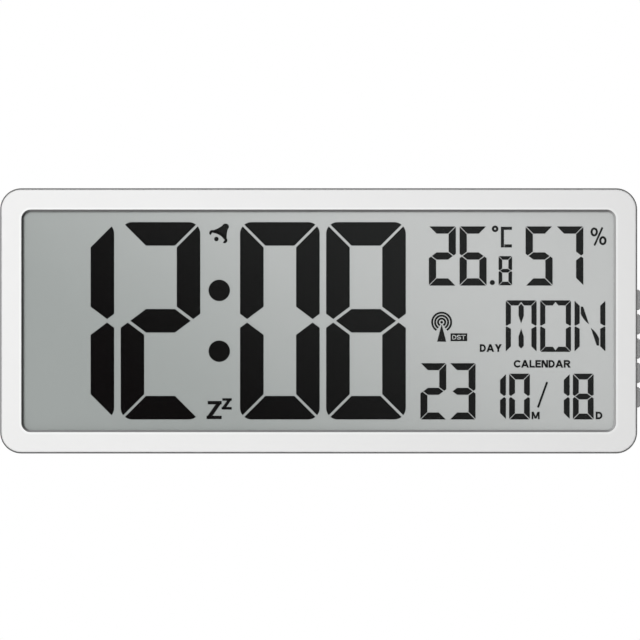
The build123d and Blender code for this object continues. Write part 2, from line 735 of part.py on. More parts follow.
# Retainer that presses the display against the frame and carries the main board
with BuildPart() as lcd_retainer:
    with BuildSketch(at_level(reflector_back)) as plate:
        with Locations((0, rear_glass_z)):
            Rectangle(glass_width, rear_glass_height)
        ear_reach = SIDE_ROOM - EAR_GAP
        ear_x = (glass_width + ear_reach) / 2
        with Locations(*[(math.copysign(ear_x, x), z) for x, z in side_screw_places]):
            Rectangle(ear_reach, SIDE_BOSS_HEIGHT)
        opening_low = RETAINER_RAIL - glass_height / 2
        opening_height = board_low - RETAINER_RAIL - opening_low
        opening_pitch = (glass_width - RETAINER_RAIL) / RETAINER_WINDOW_COUNT
        with Locations((0, opening_low + opening_height / 2)):
            with GridLocations(opening_pitch, opening_height, RETAINER_WINDOW_COUNT, 1):
                opening_width = opening_pitch - RETAINER_RAIL
                RectangleRounded(opening_width, opening_height, RETAINER_WINDOW_RADIUS, mode=Mode.SUBTRACT)
    extrude(amount=-RETAINER_THICKNESS)
    extrude(discs(STANDOFF_DIAMETER, retainer_back, *board_screw_places), amount=-BOARD_STANDOFF)
    board_pilot = discs(BOARD_SCREW[0] + 2 * SCREW_FIT, board_front, *board_screw_places)
    extrude(board_pilot, amount=BOARD_SCREW[-1] - BOARD_THICKNESS + SCREW_TIP_ROOM / 2, mode=Mode.SUBTRACT)
    ear_hole = discs(RETAINER_SCREW[0] + 2 * SCREW_FIT, reflector_back, *side_screw_places)
    extrude(ear_hole, amount=-RETAINER_THICKNESS, mode=Mode.SUBTRACT)
save(lcd_retainer.part, "lcd_retainer")
screw_set(side_screw_places, retainer_back, RETAINER_SCREW, "retainer_screws")

with BuildPart() as zebra_strip:
    zebra = blocks(ZEBRA_LENGTH, ZEBRA_WIDTH, board_front, (0, (glass_height - LEDGE) / 2))
    extrude(zebra, amount=cell_front - board_front)
save(zebra_strip.part, "zebra_strip")

# Main board and the pieces soldered to its back
with BuildPart() as main_board:
    plate = panels(BOARD_LENGTH, BOARD_HEIGHT, BOARD_RADIUS, board_back, (0, board_z))
    extrude(plate, amount=BOARD_THICKNESS)
    board_holes = discs(BOARD_SCREW[0] + 2 * SCREW_FIT, board_back, *board_screw_places)
    extrude(board_holes, amount=BOARD_THICKNESS, mode=Mode.SUBTRACT)
save(main_board.part, "main_board")
screw_set(board_screw_places, board_back, BOARD_SCREW, "board_screws")

with BuildPart() as controller_blob:
    with BuildSketch(Plane.XY.offset(board_z)):
        with BuildLine():
            blob_x = BLOB_SHARE * BOARD_LENGTH
            top_of_blob = (blob_x, BLOB_HEIGHT - board_back)
            rim_of_blob = (blob_x + BLOB_DIAMETER / 2, -board_back)
            Line((blob_x, -board_back), top_of_blob)
            TangentArc(top_of_blob, rim_of_blob, tangent=(1, 0))
            Line(rim_of_blob, (blob_x, -board_back))
        make_face()
    revolve(axis=Axis((blob_x, -board_back, board_z), (0, 1, 0)))
save(controller_blob.part, "controller_blob")

with BuildPart() as quartz_crystal:
    with BuildSketch(at_level(board_back)):
        with Locations((CRYSTAL_SHARE * BOARD_LENGTH, board_z)):
            SlotOverall(CRYSTAL_LENGTH, CRYSTAL_WIDTH)
    extrude(amount=-CRYSTAL_HEIGHT)
    fillet(quartz_crystal.faces().sort_by(Axis.Y)[-1].edges(), radius=CAPACITOR_EDGE)
save(quartz_crystal.part, "quartz_crystal")

with BuildPart() as smoothing_capacitor:
    can = discs(CAPACITOR_DIAMETER, board_back, (CAPACITOR_SHARE * BOARD_LENGTH, board_z))
    extrude(can, amount=-CAPACITOR_HEIGHT)
    fillet(smoothing_capacitor.faces().sort_by(Axis.Y)[-1].edges(), radius=CAPACITOR_EDGE)
save(smoothing_capacitor.part, "smoothing_capacitor")

header_z = board_low + HEADER_INSET + HEADER_HEIGHT / 2
header_xs = {use: share * BOARD_LENGTH / 2 for use, share in zip(HEADER_USES, HEADER_SHARES)}
with BuildPart() as wire_headers:
    header_places = [(x, header_z) for x in header_xs.values()]
    extrude(blocks(HEADER_LENGTH, HEADER_HEIGHT, board_back, *header_places), amount=-HEADER_DEPTH)
save(wire_headers.part, "wire_headers")

# Rear cover: shell with battery bay, foot pockets, keyholes, posts and seats for the inner pieces
with BuildPart() as rear_cover:
    extrude(panels(CASE_WIDTH, CASE_HEIGHT, CORNER_RADIUS, 0), amount=parting)
    fillet(rear_cover.faces().sort_by(Axis.Y)[-1].edges(), radius=REAR_EDGE_RADIUS)
    extrude(panels(*inside, REAR_FLOOR), amount=parting - REAR_FLOOR, mode=Mode.SUBTRACT)
    tongue_cut = CASE_WALL - TONGUE_WALL + SEAM_CLEARANCE
    with BuildSketch(at_level(parting)) as tongue:
        tongue_radius = CORNER_RADIUS - tongue_cut
        RectangleRounded(CASE_WIDTH - 2 * tongue_cut, CASE_HEIGHT - 2 * tongue_cut, tongue_radius)
        RectangleRounded(*inside, mode=Mode.SUBTRACT)
    extrude(amount=TONGUE_HEIGHT)

    # Posts, pockets and seats that stand on the floor
    extrude(discs(POST_DIAMETER, REAR_FLOOR, *case_screw_places), amount=parting - REAR_FLOOR)
    bay_wall = 2 * POCKET_WALL
    collar_wall = bay_wall + 2 * DOOR_CLEARANCE
    collar_size = (door_length + collar_wall, door_height + collar_wall, DOOR_RADIUS)
    collar = panels(*collar_size, REAR_FLOOR, (0, bay_z))
    extrude(collar, amount=collar_level - REAR_FLOOR)
    bay_box = blocks(bay_length + bay_wall, bay_height + bay_wall, REAR_FLOOR, (0, bay_z))
    extrude(bay_box, amount=bay_floor + POCKET_WALL - REAR_FLOOR)
    foot_centres = [(x, foot_pocket_z) for x in foot_places.values()]
    foot_box_size = (foot_pocket_width + bay_wall, foot_pocket_height + bay_wall)
    foot_box = blocks(*foot_box_size, REAR_FLOOR, *foot_centres)
    extrude(foot_box, amount=foot_floor + POCKET_WALL - REAR_FLOOR)
    keyhole_rise = KEYHOLE_TRAVEL / 2
    keyhole_centres = [(x, z + keyhole_rise) for x, z in keyhole_places]
    keyhole_size = (keyhole_pocket_width + bay_wall, keyhole_pocket_height + bay_wall)
    keyhole_box = blocks(*keyhole_size, REAR_FLOOR, *keyhole_centres)
    extrude(keyhole_box, amount=KEYHOLE_DEPTH + POCKET_WALL)
    buzzer_outer = BUZZER_DIAMETER + 2 * (BUZZER_CLEARANCE + BUZZER_WALL)
    extrude(discs(buzzer_outer, REAR_FLOOR, buzzer_place), amount=BUZZER_RISE + BUZZER_LIP)
    cradle_reach = ROD_LENGTH / 2 - CRADLE_INSET
    cradle_places = [(ANTENNA_X + s * cradle_reach, rod_z) for s in (-1, 1)]
    cradles = blocks(CRADLE_THICKNESS, CRADLE_WIDTH, REAR_FLOOR, *cradle_places)
    extrude(cradles, amount=ROD_LEVEL - REAR_FLOOR)
    stake_places = []
    for (x, z), board_length in ((receiver_place, RECEIVER_LENGTH), (sensor_place, SENSOR_LENGTH)):
        reach = board_length / 2 - STAKE_INSET
        stake_places += [(x - reach, z), (x + reach, z)]
    extrude(discs(STAKE_DIAMETER, REAR_FLOOR, *stake_places), amount=STAKE_HEIGHT)
    extrude(discs(STAKE_PIN, stake_level, *stake_places), amount=STAKE_PIN_HEIGHT)
    guide_width = BOARD_THICKNESS + 2 * (GUIDE_CLEARANCE + GUIDE_WALL)
    guide_x = button_board_x - BOARD_THICKNESS / 2
    guide_ends = (button_board_top, button_board_top - button_board_height)
    guide_places = [(guide_x, z) for z in guide_ends]
    extrude(blocks(guide_width, 2 * GUIDE_REACH, REAR_FLOOR, *guide_places), amount=GUIDE_HEIGHT)

    # Hollows and holes
    extrude(blocks(bay_length, bay_height, 0, (0, bay_z)), amount=bay_floor, mode=Mode.SUBTRACT)
    door_gap = 2 * DOOR_CLEARANCE
    recess_size = (door_length + door_gap, door_height + door_gap, DOOR_RADIUS + DOOR_CLEARANCE)
    extrude(panels(*recess_size, 0, (0, bay_z)), amount=DOOR_THICKNESS, mode=Mode.SUBTRACT)
    tab_slot_low = door_low - TAB_REACH - TAB_CLEARANCE
    tab_slot_high = door_low + DOOR_OVERLAP
    tab_slot_z = (tab_slot_low + tab_slot_high) / 2
    tab_slots = [(s * TAB_SPREAD / 2, tab_slot_z) for s in (-1, 1)]
    tab_slot_width = TAB_WIDTH + 2 * TAB_CLEARANCE
    tab_slot = blocks(tab_slot_width, tab_slot_high - tab_slot_low, REAR_FLOOR, *tab_slots)
    extrude(tab_slot, amount=tab_front + TAB_ROOM - REAR_FLOOR, mode=Mode.SUBTRACT)
    tab_mouths = [(x, door_low + DOOR_OVERLAP / 2) for x, z in tab_slots]
    tab_mouth = blocks(tab_slot_width, DOOR_OVERLAP, DOOR_THICKNESS, *tab_mouths)
    extrude(tab_mouth, amount=COLLAR_DEPTH, mode=Mode.SUBTRACT)
    extrude(discs(2 * THUMB_RADIUS, 0, (0, door_high)), amount=THUMB_DEPTH, mode=Mode.SUBTRACT)
    contact_slot_size = 2 * CONTACT_SLOT_CLEARANCE
    for z in (bay_z - battery_rise, bay_z + battery_rise):
        slot_size = (CONTACT_THICKNESS + contact_slot_size, CONTACT_TAB + contact_slot_size)
        contact_slot = flat_section(*slot_size, bay_length / 2, battery_level, z)
        extrude(contact_slot, amount=POCKET_WALL, mode=Mode.SUBTRACT)
    foot_pocket = blocks(foot_pocket_width, foot_pocket_height, 0, *foot_centres)
    extrude(foot_pocket, amount=foot_floor, mode=Mode.SUBTRACT)
    for x in foot_places.values():
        pin_hole = round_section(PIN_DIAMETER + 2 * PIN_FIT, x - pin_length / 2, foot_pin_level, foot_pin_z)
        extrude(pin_hole, amount=pin_length, mode=Mode.SUBTRACT)
    keyhole_pocket = blocks(keyhole_pocket_width, keyhole_pocket_height, REAR_FLOOR, *keyhole_centres)
    extrude(keyhole_pocket, amount=KEYHOLE_DEPTH, mode=Mode.SUBTRACT)
    with BuildSketch(at_level(0)) as keyholes:
        with Locations(*keyhole_places):
            Circle(KEYHOLE_RADIUS)
        with Locations(*keyhole_centres):
            SlotCenterToCenter(KEYHOLE_TRAVEL, KEYHOLE_NECK, rotation=90)
    extrude(amount=REAR_FLOOR, mode=Mode.SUBTRACT)
    shank, head, head_height, length = CASE_SCREW
    counterbores = discs(head + 2 * HEAD_CLEARANCE, 0, *case_screw_places)
    extrude(counterbores, amount=parting - HEAD_SEAT, mode=Mode.SUBTRACT)
    extrude(discs(shank + 2 * SCREW_FIT, 0, *case_screw_places), amount=parting, mode=Mode.SUBTRACT)
    buzzer_seat = BUZZER_DIAMETER + 2 * BUZZER_CLEARANCE
    extrude(discs(buzzer_seat, buzzer_level, buzzer_place), amount=BUZZER_LIP, mode=Mode.SUBTRACT)
    buzzer_hollow = BUZZER_DIAMETER - 2 * BUZZER_LEDGE
    extrude(discs(buzzer_hollow, REAR_FLOOR, buzzer_place), amount=BUZZER_RISE, mode=Mode.SUBTRACT)
    with BuildSketch(at_level(0)) as sound_holes:
        with Locations(buzzer_place):
            Circle(SOUND_HOLE / 2)
            with PolarLocations(SOUND_RING, SOUND_COUNT):
                Circle(SOUND_HOLE / 2)
    extrude(amount=REAR_FLOOR, mode=Mode.SUBTRACT)
    with BuildSketch(at_level(0)) as vents:
        with Locations(sensor_place):
            with GridLocations(VENT_PITCH, VENT_LENGTH, VENT_COUNT, 1):
                SlotOverall(VENT_LENGTH, VENT_WIDTH, rotation=90)
    extrude(amount=REAR_FLOOR, mode=Mode.SUBTRACT)
    rod_cut = round_section(ROD_DIAMETER + 2 * ROD_FIT, ANTENNA_X - ROD_LENGTH / 2, ROD_LEVEL, rod_z)
    extrude(rod_cut, amount=ROD_LENGTH, mode=Mode.SUBTRACT)
    guide_gap = BOARD_THICKNESS + 2 * GUIDE_CLEARANCE
    guide_slot = blocks(guide_gap, button_board_height, REAR_FLOOR, (guide_x, -BUTTON_DROP))
    extrude(guide_slot, amount=GUIDE_HEIGHT, mode=Mode.SUBTRACT)
    for z in button_heights:
        hole_length = BUTTON_LENGTH + 2 * BUTTON_CLEARANCE
        hole_width = BUTTON_WIDTH + 2 * BUTTON_CLEARANCE
        button_hole = button_section(hole_length, hole_width, inner_x, z)
        extrude(button_hole, amount=CASE_WALL, mode=Mode.SUBTRACT)
save(rear_cover.part, "rear_cover")
screw_set(case_screw_places, parting - HEAD_SEAT, CASE_SCREW, "case_screws")

# Battery door: plate with two hooked tabs below and a sprung latch tongue with grip lines above
with BuildPart() as battery_door:
    extrude(panels(door_length, door_height, DOOR_RADIUS, 0, (0, bay_z)), amount=DOOR_THICKNESS)
    for x, z in tab_slots:
        with BuildSketch(Plane.YZ.offset(x - TAB_WIDTH / 2)):
            tab_back = REAR_FLOOR + DOOR_CLEARANCE
            with BuildLine():
                Polyline(
                    (-DOOR_THICKNESS, door_low + TAB_ROOT),
                    (-DOOR_THICKNESS, door_low),
                    (-tab_back, door_low),
                    (-tab_back, door_low - TAB_REACH),
                    (-tab_front, door_low - TAB_REACH),
                    (-tab_front, door_low + TAB_ROOT),
                    close=True,
                )
            make_face()
        extrude(amount=TAB_WIDTH)
    latch_places = [(s * (LATCH_WIDTH + LATCH_SLIT) / 2, door_high - LATCH_LENGTH / 2) for s in (-1, 1)]
    extrude(blocks(LATCH_SLIT, LATCH_LENGTH, 0, *latch_places), amount=DOOR_THICKNESS, mode=Mode.SUBTRACT)
    with BuildSketch(at_level(0)):
        with Locations((0, door_high - LATCH_LENGTH / 2)):
            with GridLocations(GRIP_WIDTH, GRIP_PITCH, 1, GRIP_COUNT):
                SlotOverall(GRIP_WIDTH, GRIP_LINE)
    extrude(amount=GRIP_DEPTH, mode=Mode.SUBTRACT)
save(battery_door.part, "battery_door")


def battery(end_x, toward, z, name):
    """One round cell: its nub ends at end_x and the can runs away from it, toward being 1 or -1."""
    with BuildPart() as cell:
        can_x = end_x - toward * NUB_HEIGHT
        can_length = BATTERY_LENGTH - NUB_HEIGHT
        extrude(round_section(BATTERY_DIAMETER, can_x, battery_level, z), amount=-toward * can_length)
        chamfer(cell.edges().filter_by(GeomType.CIRCLE), length=BATTERY_EDGE)
        extrude(round_section(NUB_DIAMETER, can_x, battery_level, z), amount=toward * NUB_HEIGHT)
    save(cell.part, name)


contact_x = bay_length / 2 - CONTACT_THICKNESS
battery(contact_x, 1, bay_z + battery_rise, "battery_upper")
battery(-contact_x, -1, bay_z - battery_rise, "battery_lower")

# Contacts on the end walls of the bay
with BuildPart() as link_contact:
    link_height = CONTACT_SIZE + 2 * battery_rise
    link = flat_section(CONTACT_SIZE, link_height, -bay_length / 2, battery_level, bay_z)
    extrude(link, amount=CONTACT_THICKNESS)
save(link_contact.part, "link_contact")

contact_tab_end = bay_length / 2 + CONTACT_TAB_LENGTH
for name, z in (("positive_contact", bay_z + battery_rise), ("negative_contact", bay_z - battery_rise)):
    with BuildPart() as contact:
        pad = flat_section(CONTACT_SIZE, CONTACT_SIZE, contact_x, battery_level, z)
        extrude(pad, amount=CONTACT_THICKNESS)
        tab = flat_section(CONTACT_THICKNESS, CONTACT_TAB, bay_length / 2, battery_level, z)
        extrude(tab, amount=CONTACT_TAB_LENGTH)
    save(contact.part, name)


def arc_middle(start, corner, end):
    """Middle of the arc that leaves start towards corner and reaches end along the line from corner."""
    chord_middle = (start + end) * 0.5
    half_turn = math.acos(min(1.0, (end - start).length / 2 / (corner - start).length))
    bulge = math.tan(half_turn / 2) / math.tan(half_turn) if half_turn else 0
    return chord_middle + (corner - chord_middle) * bulge


def biarc(start, start_way, end, end_way):
    """Two arcs, tangent to each other, from start along start_way to end along end_way."""
    span = end - start
    both = start_way + end_way
    a = 2 * (start_way.dot(end_way) - 1)
    b = -2 * span.dot(both)
    c = span.dot(span)
    reach = (-b - math.sqrt(b * b - 4 * a * c)) / (2 * a) if a else -c / b
    first, second = start + start_way * reach, end - end_way * reach
    joint = (first + second) * 0.5
    ThreePointArc(start, arc_middle(start, first, joint), joint)
    ThreePointArc(joint, arc_middle(joint, second, end), end)


def contact_spring(base_x, toward, z):
    """Conical spring wire from a contact plate to a cell, as a path of quarter-turn biarcs."""
    end_room = SPRING_WIRE + SPRING_BEND
    taper = (SPRING_BASE_RADIUS - SPRING_TIP_RADIUS) / SPRING_QUARTERS
    pitch = (SPRING_LENGTH - 2 * end_room) / SPRING_QUARTERS
    axial = Vector(toward, 0, 0)
    foot = Vector(base_x, -battery_level, z)

    def turn(quarter):
        angle = quarter * math.pi / 2
        radius = SPRING_BASE_RADIUS - taper * quarter
        outwards = Vector(0, math.cos(angle), math.sin(angle))
        return foot + outwards * radius + axial * (end_room + pitch * quarter)

    def heading(quarter):
        angle = quarter * math.pi / 2
        outwards = Vector(0, math.cos(angle), math.sin(angle))
        around = Vector(0, -math.sin(angle), math.cos(angle))
        speed = math.pi / 2 * (SPRING_BASE_RADIUS - taper * quarter)
        return (around * speed - outwards * taper + axial * pitch).normalized()

    with BuildLine() as path:
        knee = turn(0) - (heading(0) + axial) * SPRING_BEND
        Line(knee - axial * (foot - knee).dot(-axial), knee)
        biarc(knee, axial, turn(0), heading(0))
        for quarter in range(SPRING_QUARTERS):
            biarc(turn(quarter), heading(quarter), turn(quarter + 1), heading(quarter + 1))
        last = SPRING_QUARTERS
        knee = turn(last) + (heading(last) + axial) * SPRING_BEND
        biarc(turn(last), heading(last), knee, axial)
        Line(knee, knee + axial * (SPRING_LENGTH - (knee - foot).dot(axial)))
    return path


def least_gap(path, samples=8):
    """Least clear distance between stretches of the wire that lie over half a turn apart."""
    points = [edge.position_at(i / samples) for edge in path.edges() for i in range(samples)]
    away = 4 * samples
    pairs = ((p, q) for i, p in enumerate(points) for q in points[i + away:])
    return min((p - q).length for p, q in pairs) - SPRING_WIRE


with BuildPart() as contact_springs:
    for base_x, toward, z in ((-contact_x, 1, bay_z + battery_rise), (contact_x, -1, bay_z - battery_rise)):
        wire = contact_spring(base_x, toward, z)
        with BuildSketch(Plane(origin=wire.line @ 0, z_dir=wire.line % 0)):
            Circle(SPRING_WIRE / 2)
        sweep(path=wire.line)
        print("contact spring: least gap between turns", round(least_gap(wire.line), 3))
save(contact_springs.part, "contact_springs")

# Feet, folded up into their pockets, with rubber pads and steel pins
for name, x in foot_places.items():
    with BuildPart() as foot:
        with BuildSketch(Plane.YZ.offset(x - FOOT_WIDTH / 2)):
            heel_z = foot_pin_z - FOOT_THICKNESS / 2
            with BuildLine():
                Polyline(
                    (-foot_pin_level, heel_z),
                    (-FOOT_RECESS, heel_z),
                    (-FOOT_RECESS, foot_tip_z),
                    (-foot_inner_level, foot_tip_z),
                    (-foot_inner_level, foot_pin_z),
                )
                TangentArc((-foot_inner_level, foot_pin_z), (-foot_pin_level, heel_z), tangent=(0, -1))
            make_face()
        extrude(amount=FOOT_WIDTH)
        fillet(foot.edges().filter_by(Axis.Y).group_by(Axis.Z)[-1], radius=FOOT_TIP_RADIUS)
        hollow_width = (FOOT_WIDTH - 3 * FOOT_RIB) / 2
        hollow_height = FOOT_LENGTH - FOOT_THICKNESS - 2 * FOOT_RIB
        hollow_z = (foot_pin_z + foot_tip_z + FOOT_THICKNESS) / 2 - FOOT_RIB / 2
        hollow_places = [(x + s * (hollow_width + FOOT_RIB) / 2, hollow_z) for s in (-1, 1)]
        hollow = panels(hollow_width, hollow_height, FOOT_HOLLOW_RADIUS, foot_inner_level, *hollow_places)
        extrude(hollow, amount=-FOOT_HOLLOW_DEPTH, mode=Mode.SUBTRACT)
        bore_diameter = PIN_DIAMETER + 2 * PIN_RUNNING_FIT
        bore = round_section(bore_diameter, x - FOOT_WIDTH / 2, foot_pin_level, foot_pin_z)
        extrude(bore, amount=FOOT_WIDTH, mode=Mode.SUBTRACT)
        pad_place = (x, foot_tip_z - FOOT_TIP_RADIUS - PAD_LENGTH / 2)
        pad_seat = panels(PAD_WIDTH, PAD_LENGTH, PAD_RADIUS, FOOT_RECESS, pad_place)
        extrude(pad_seat, amount=PAD_SINK, mode=Mode.SUBTRACT)
    save(foot.part, name)

    with BuildPart() as pad:
        pad_gap = 2 * PAD_CLEARANCE
        pad_size = (PAD_WIDTH - pad_gap, PAD_LENGTH - pad_gap, PAD_RADIUS - PAD_CLEARANCE)
        extrude(panels(*pad_size, FOOT_RECESS - PAD_PROUD, pad_place), amount=PAD_PROUD + PAD_SINK)
    save(pad.part, f"{name}_pad")

with BuildPart() as foot_pins:
    for x in foot_places.values():
        pin = round_section(PIN_DIAMETER, x - pin_length / 2, foot_pin_level, foot_pin_z)
        extrude(pin, amount=pin_length)
save(foot_pins.part, "foot_pins")

# Side buttons, each with its flange inside the wall and a stem that pushes a switch plunger
for number, z in enumerate(button_heights, 1):
    with BuildPart() as side_button:
        extrude(button_section(BUTTON_LENGTH, BUTTON_WIDTH, inner_x, z), amount=CASE_WALL + BUTTON_PROUD)
        fillet(side_button.faces().sort_by(Axis.X)[-1].edges(), radius=BUTTON_EDGE_RADIUS)
        flange = button_section(BUTTON_LENGTH + 2 * FLANGE_LIP, BUTTON_WIDTH + 2 * FLANGE_LIP, flange_x, z)
        extrude(flange, amount=FLANGE_THICKNESS)
        extrude(round_section(STEM_DIAMETER, stem_x, BUTTON_LEVEL, z), amount=STEM_LENGTH)
    save(side_button.part, f"side_button_{number}")

    with BuildPart() as switch_plunger:
        extrude(round_section(PLUNGER_DIAMETER, stem_x, BUTTON_LEVEL, z), amount=-PLUNGER_LENGTH)
    save(switch_plunger.part, f"switch_plunger_{number}")

with BuildPart() as switch_bodies:
    for z in button_heights:
        extrude(flat_section(SWITCH_SIZE, SWITCH_SIZE, switch_x, BUTTON_LEVEL, z), amount=-SWITCH_THICKNESS)
        plunger_room = PLUNGER_LENGTH - PLUNGER_PROUD + BUTTON_TRAVEL + PLUNGER_FIT
        plunger_bore = round_section(PLUNGER_DIAMETER + 2 * PLUNGER_FIT, switch_x, BUTTON_LEVEL, z)
        extrude(plunger_bore, amount=-plunger_room, mode=Mode.SUBTRACT)
save(switch_bodies.part, "switch_bodies")

with BuildPart() as button_board:
    board_level = REAR_FLOOR + BUTTON_BOARD_DEPTH / 2
    board_size = (BUTTON_BOARD_DEPTH, button_board_height)
    extrude(flat_section(*board_size, button_board_x, board_level, -BUTTON_DROP), amount=-BOARD_THICKNESS)
save(button_board.part, "button_board")

# Radio antenna in its cradles
with BuildPart() as ferrite_rod:
    extrude(round_section(ROD_DIAMETER, ANTENNA_X - ROD_LENGTH / 2, ROD_LEVEL, rod_z), amount=ROD_LENGTH)
save(ferrite_rod.part, "ferrite_rod")

with BuildPart() as antenna_coil:
    coil_x = ANTENNA_X - COIL_LENGTH / 2
    extrude(round_section(COIL_DIAMETER, coil_x, ROD_LEVEL, rod_z), amount=COIL_LENGTH)
    coil_bore = round_section(ROD_DIAMETER + 2 * ROD_FIT, coil_x, ROD_LEVEL, rod_z)
    extrude(coil_bore, amount=COIL_LENGTH, mode=Mode.SUBTRACT)
save(antenna_coil.part, "antenna_coil")


def staked_board(place, length, height, name):
    """Small board on two stakes of the rear cover, whose pins pass through it."""
    x, z = place
    reach = length / 2 - STAKE_INSET
    with BuildPart() as board:
        extrude(blocks(length, height, stake_level, place), amount=SMALL_BOARD_THICKNESS)
        holes = discs(STAKE_PIN + 2 * STAKE_CLEARANCE, stake_level, (x - reach, z), (x + reach, z))
        extrude(holes, amount=SMALL_BOARD_THICKNESS, mode=Mode.SUBTRACT)
    save(board.part, name)


staked_board(receiver_place, RECEIVER_LENGTH, RECEIVER_HEIGHT, "receiver_board")
staked_board(sensor_place, SENSOR_LENGTH, SENSOR_HEIGHT, "sensor_board")

with BuildPart() as humidity_sensor:
    extrude(blocks(SENSOR_CHIP, SENSOR_CHIP, stake_level, sensor_place), amount=-SENSOR_CHIP_HEIGHT)
save(humidity_sensor.part, "humidity_sensor")

# Buzzer: a brass disc on its ledge, with the ceramic layer on its front
with BuildPart() as buzzer_disc:
    extrude(discs(BUZZER_DIAMETER, buzzer_level, buzzer_place), amount=BUZZER_THICKNESS)
save(buzzer_disc.part, "buzzer_disc")

ceramic_level = buzzer_level + BUZZER_THICKNESS
with BuildPart() as buzzer_ceramic:
    extrude(discs(CERAMIC_DIAMETER, ceramic_level, buzzer_place), amount=CERAMIC_THICKNESS)
save(buzzer_ceramic.part, "buzzer_ceramic")


def lead(points, name):
    """Insulated lead along straight runs joined by arcs as wide as the runs allow."""
    route = [Vector(x, -level, z) for x, level, z in points]
    radii = []
    for before, corner, after in zip(route, route[1:], route[2:]):
        into, out = corner - before, after - corner
        half_turn = math.radians(into.get_angle(out)) / 2
        radii.append(LEAD_BEND_SHARE * min(into.length, out.length) / math.tan(half_turn))
    with BuildPart() as wire:
        with BuildLine() as path:
            FilletPolyline(*route, radius=radii)
        with BuildSketch(Plane(origin=path.line @ 0, z_dir=path.line % 0)):
            Circle(LEAD_DIAMETER / 2)
        sweep(path=path.line)
    print(name, "bend radii", [round(r, 1) for r in radii])
    save(wire.part, name)


# Leads run from the lower side of a header, across the open middle of the case, to their seats
plug_level = board_back - HEADER_DEPTH / 2
plug_z = board_low + HEADER_INSET
battery_x = header_xs["battery"]
for name, shift, z in (("red", 0, bay_z + battery_rise), ("black", LEAD_SPACING, bay_z - battery_rise)):
    start_x = battery_x + shift - LEAD_SPACING / 2
    bend_x = contact_tab_end + LEAD_RUN + shift
    lead(
        [
            (start_x, plug_level, plug_z),
            (start_x, plug_level, plug_z - LEAD_DROP),
            (bend_x, battery_level, z),
            (contact_tab_end, battery_level, z),
        ],
        f"battery_lead_{name}",
    )

buzzer_lead_level = ceramic_level + CERAMIC_THICKNESS
buzzer_lead_z = -BUZZER_DROP + CERAMIC_DIAMETER / 4
lead(
    [
        (header_xs["buzzer"], plug_level, plug_z),
        (header_xs["buzzer"], plug_level, plug_z - LEAD_DROP),
        (BUZZER_X, buzzer_lead_level + LEAD_RUN, buzzer_lead_z),
        (BUZZER_X, buzzer_lead_level, buzzer_lead_z),
    ],
    "buzzer_lead",
)

receiver_front = stake_level + SMALL_BOARD_THICKNESS
lead(
    [
        (header_xs["antenna"], plug_level, plug_z),
        (header_xs["antenna"], plug_level, plug_z - LEAD_DROP),
        (ANTENNA_X, receiver_front + LEAD_RUN / 2, receiver_z),
        (ANTENNA_X, receiver_front, receiver_z),
    ],
    "antenna_lead",
)

button_lead_x = button_board_x - BOARD_THICKNESS
button_lead_z = button_board_top - BUTTON_BOARD_MARGIN / 2
lead(
    [
        (header_xs["button"], plug_level, plug_z),
        (header_xs["button"], plug_level, plug_z - LEAD_DROP),
        (button_lead_x - 3 * LEAD_RUN, BUTTON_LEVEL, button_lead_z + LEAD_RUN / 2),
        (button_lead_x - LEAD_RUN, BUTTON_LEVEL, button_lead_z),
        (button_lead_x, BUTTON_LEVEL, button_lead_z),
    ],
    "button_lead",
)

sensor_lead_z = SENSOR_RISE - SENSOR_HEIGHT / 3
lead(
    [
        (header_xs["sensor"], plug_level, plug_z),
        (header_xs["sensor"], plug_level, plug_z - LEAD_RUN),
        (sensor_x, receiver_front + LEAD_RUN / 2, sensor_lead_z - LEAD_RUN),
        (sensor_x, receiver_front + LEAD_RUN / 2, sensor_lead_z),
        (sensor_x, receiver_front, sensor_lead_z),
    ],
    "sensor_lead",
)
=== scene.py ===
import json
import math

import bmesh
import bpy
import numpy as np
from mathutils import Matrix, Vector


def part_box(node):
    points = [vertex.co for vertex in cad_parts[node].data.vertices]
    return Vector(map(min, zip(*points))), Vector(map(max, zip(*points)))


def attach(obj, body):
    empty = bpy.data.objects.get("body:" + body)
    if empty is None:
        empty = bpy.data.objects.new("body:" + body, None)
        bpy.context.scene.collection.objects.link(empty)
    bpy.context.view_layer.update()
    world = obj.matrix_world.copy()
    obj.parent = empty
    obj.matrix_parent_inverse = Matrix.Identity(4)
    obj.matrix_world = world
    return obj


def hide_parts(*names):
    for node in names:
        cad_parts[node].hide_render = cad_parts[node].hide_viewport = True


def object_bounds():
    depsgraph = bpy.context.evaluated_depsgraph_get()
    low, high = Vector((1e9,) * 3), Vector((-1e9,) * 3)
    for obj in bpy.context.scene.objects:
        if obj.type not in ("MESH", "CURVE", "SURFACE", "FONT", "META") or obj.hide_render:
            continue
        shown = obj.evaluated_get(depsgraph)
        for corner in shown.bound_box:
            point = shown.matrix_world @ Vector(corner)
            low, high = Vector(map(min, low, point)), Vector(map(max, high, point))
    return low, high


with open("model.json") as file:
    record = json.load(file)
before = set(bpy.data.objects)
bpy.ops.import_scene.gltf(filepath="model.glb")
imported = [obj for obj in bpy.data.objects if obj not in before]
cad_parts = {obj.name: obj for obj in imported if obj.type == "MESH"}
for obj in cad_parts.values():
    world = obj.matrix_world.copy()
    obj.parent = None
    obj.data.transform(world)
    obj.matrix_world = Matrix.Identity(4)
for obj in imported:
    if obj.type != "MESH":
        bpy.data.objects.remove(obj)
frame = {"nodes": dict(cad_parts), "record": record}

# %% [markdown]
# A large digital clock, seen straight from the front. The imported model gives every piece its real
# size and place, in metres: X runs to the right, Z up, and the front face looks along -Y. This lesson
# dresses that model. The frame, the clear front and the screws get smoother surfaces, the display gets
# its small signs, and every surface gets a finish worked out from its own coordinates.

MM = 0.001
cad_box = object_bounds()
nodes = frame["nodes"]
print("packed box", [tuple(round(v, 4) for v in corner) for corner in cad_box])

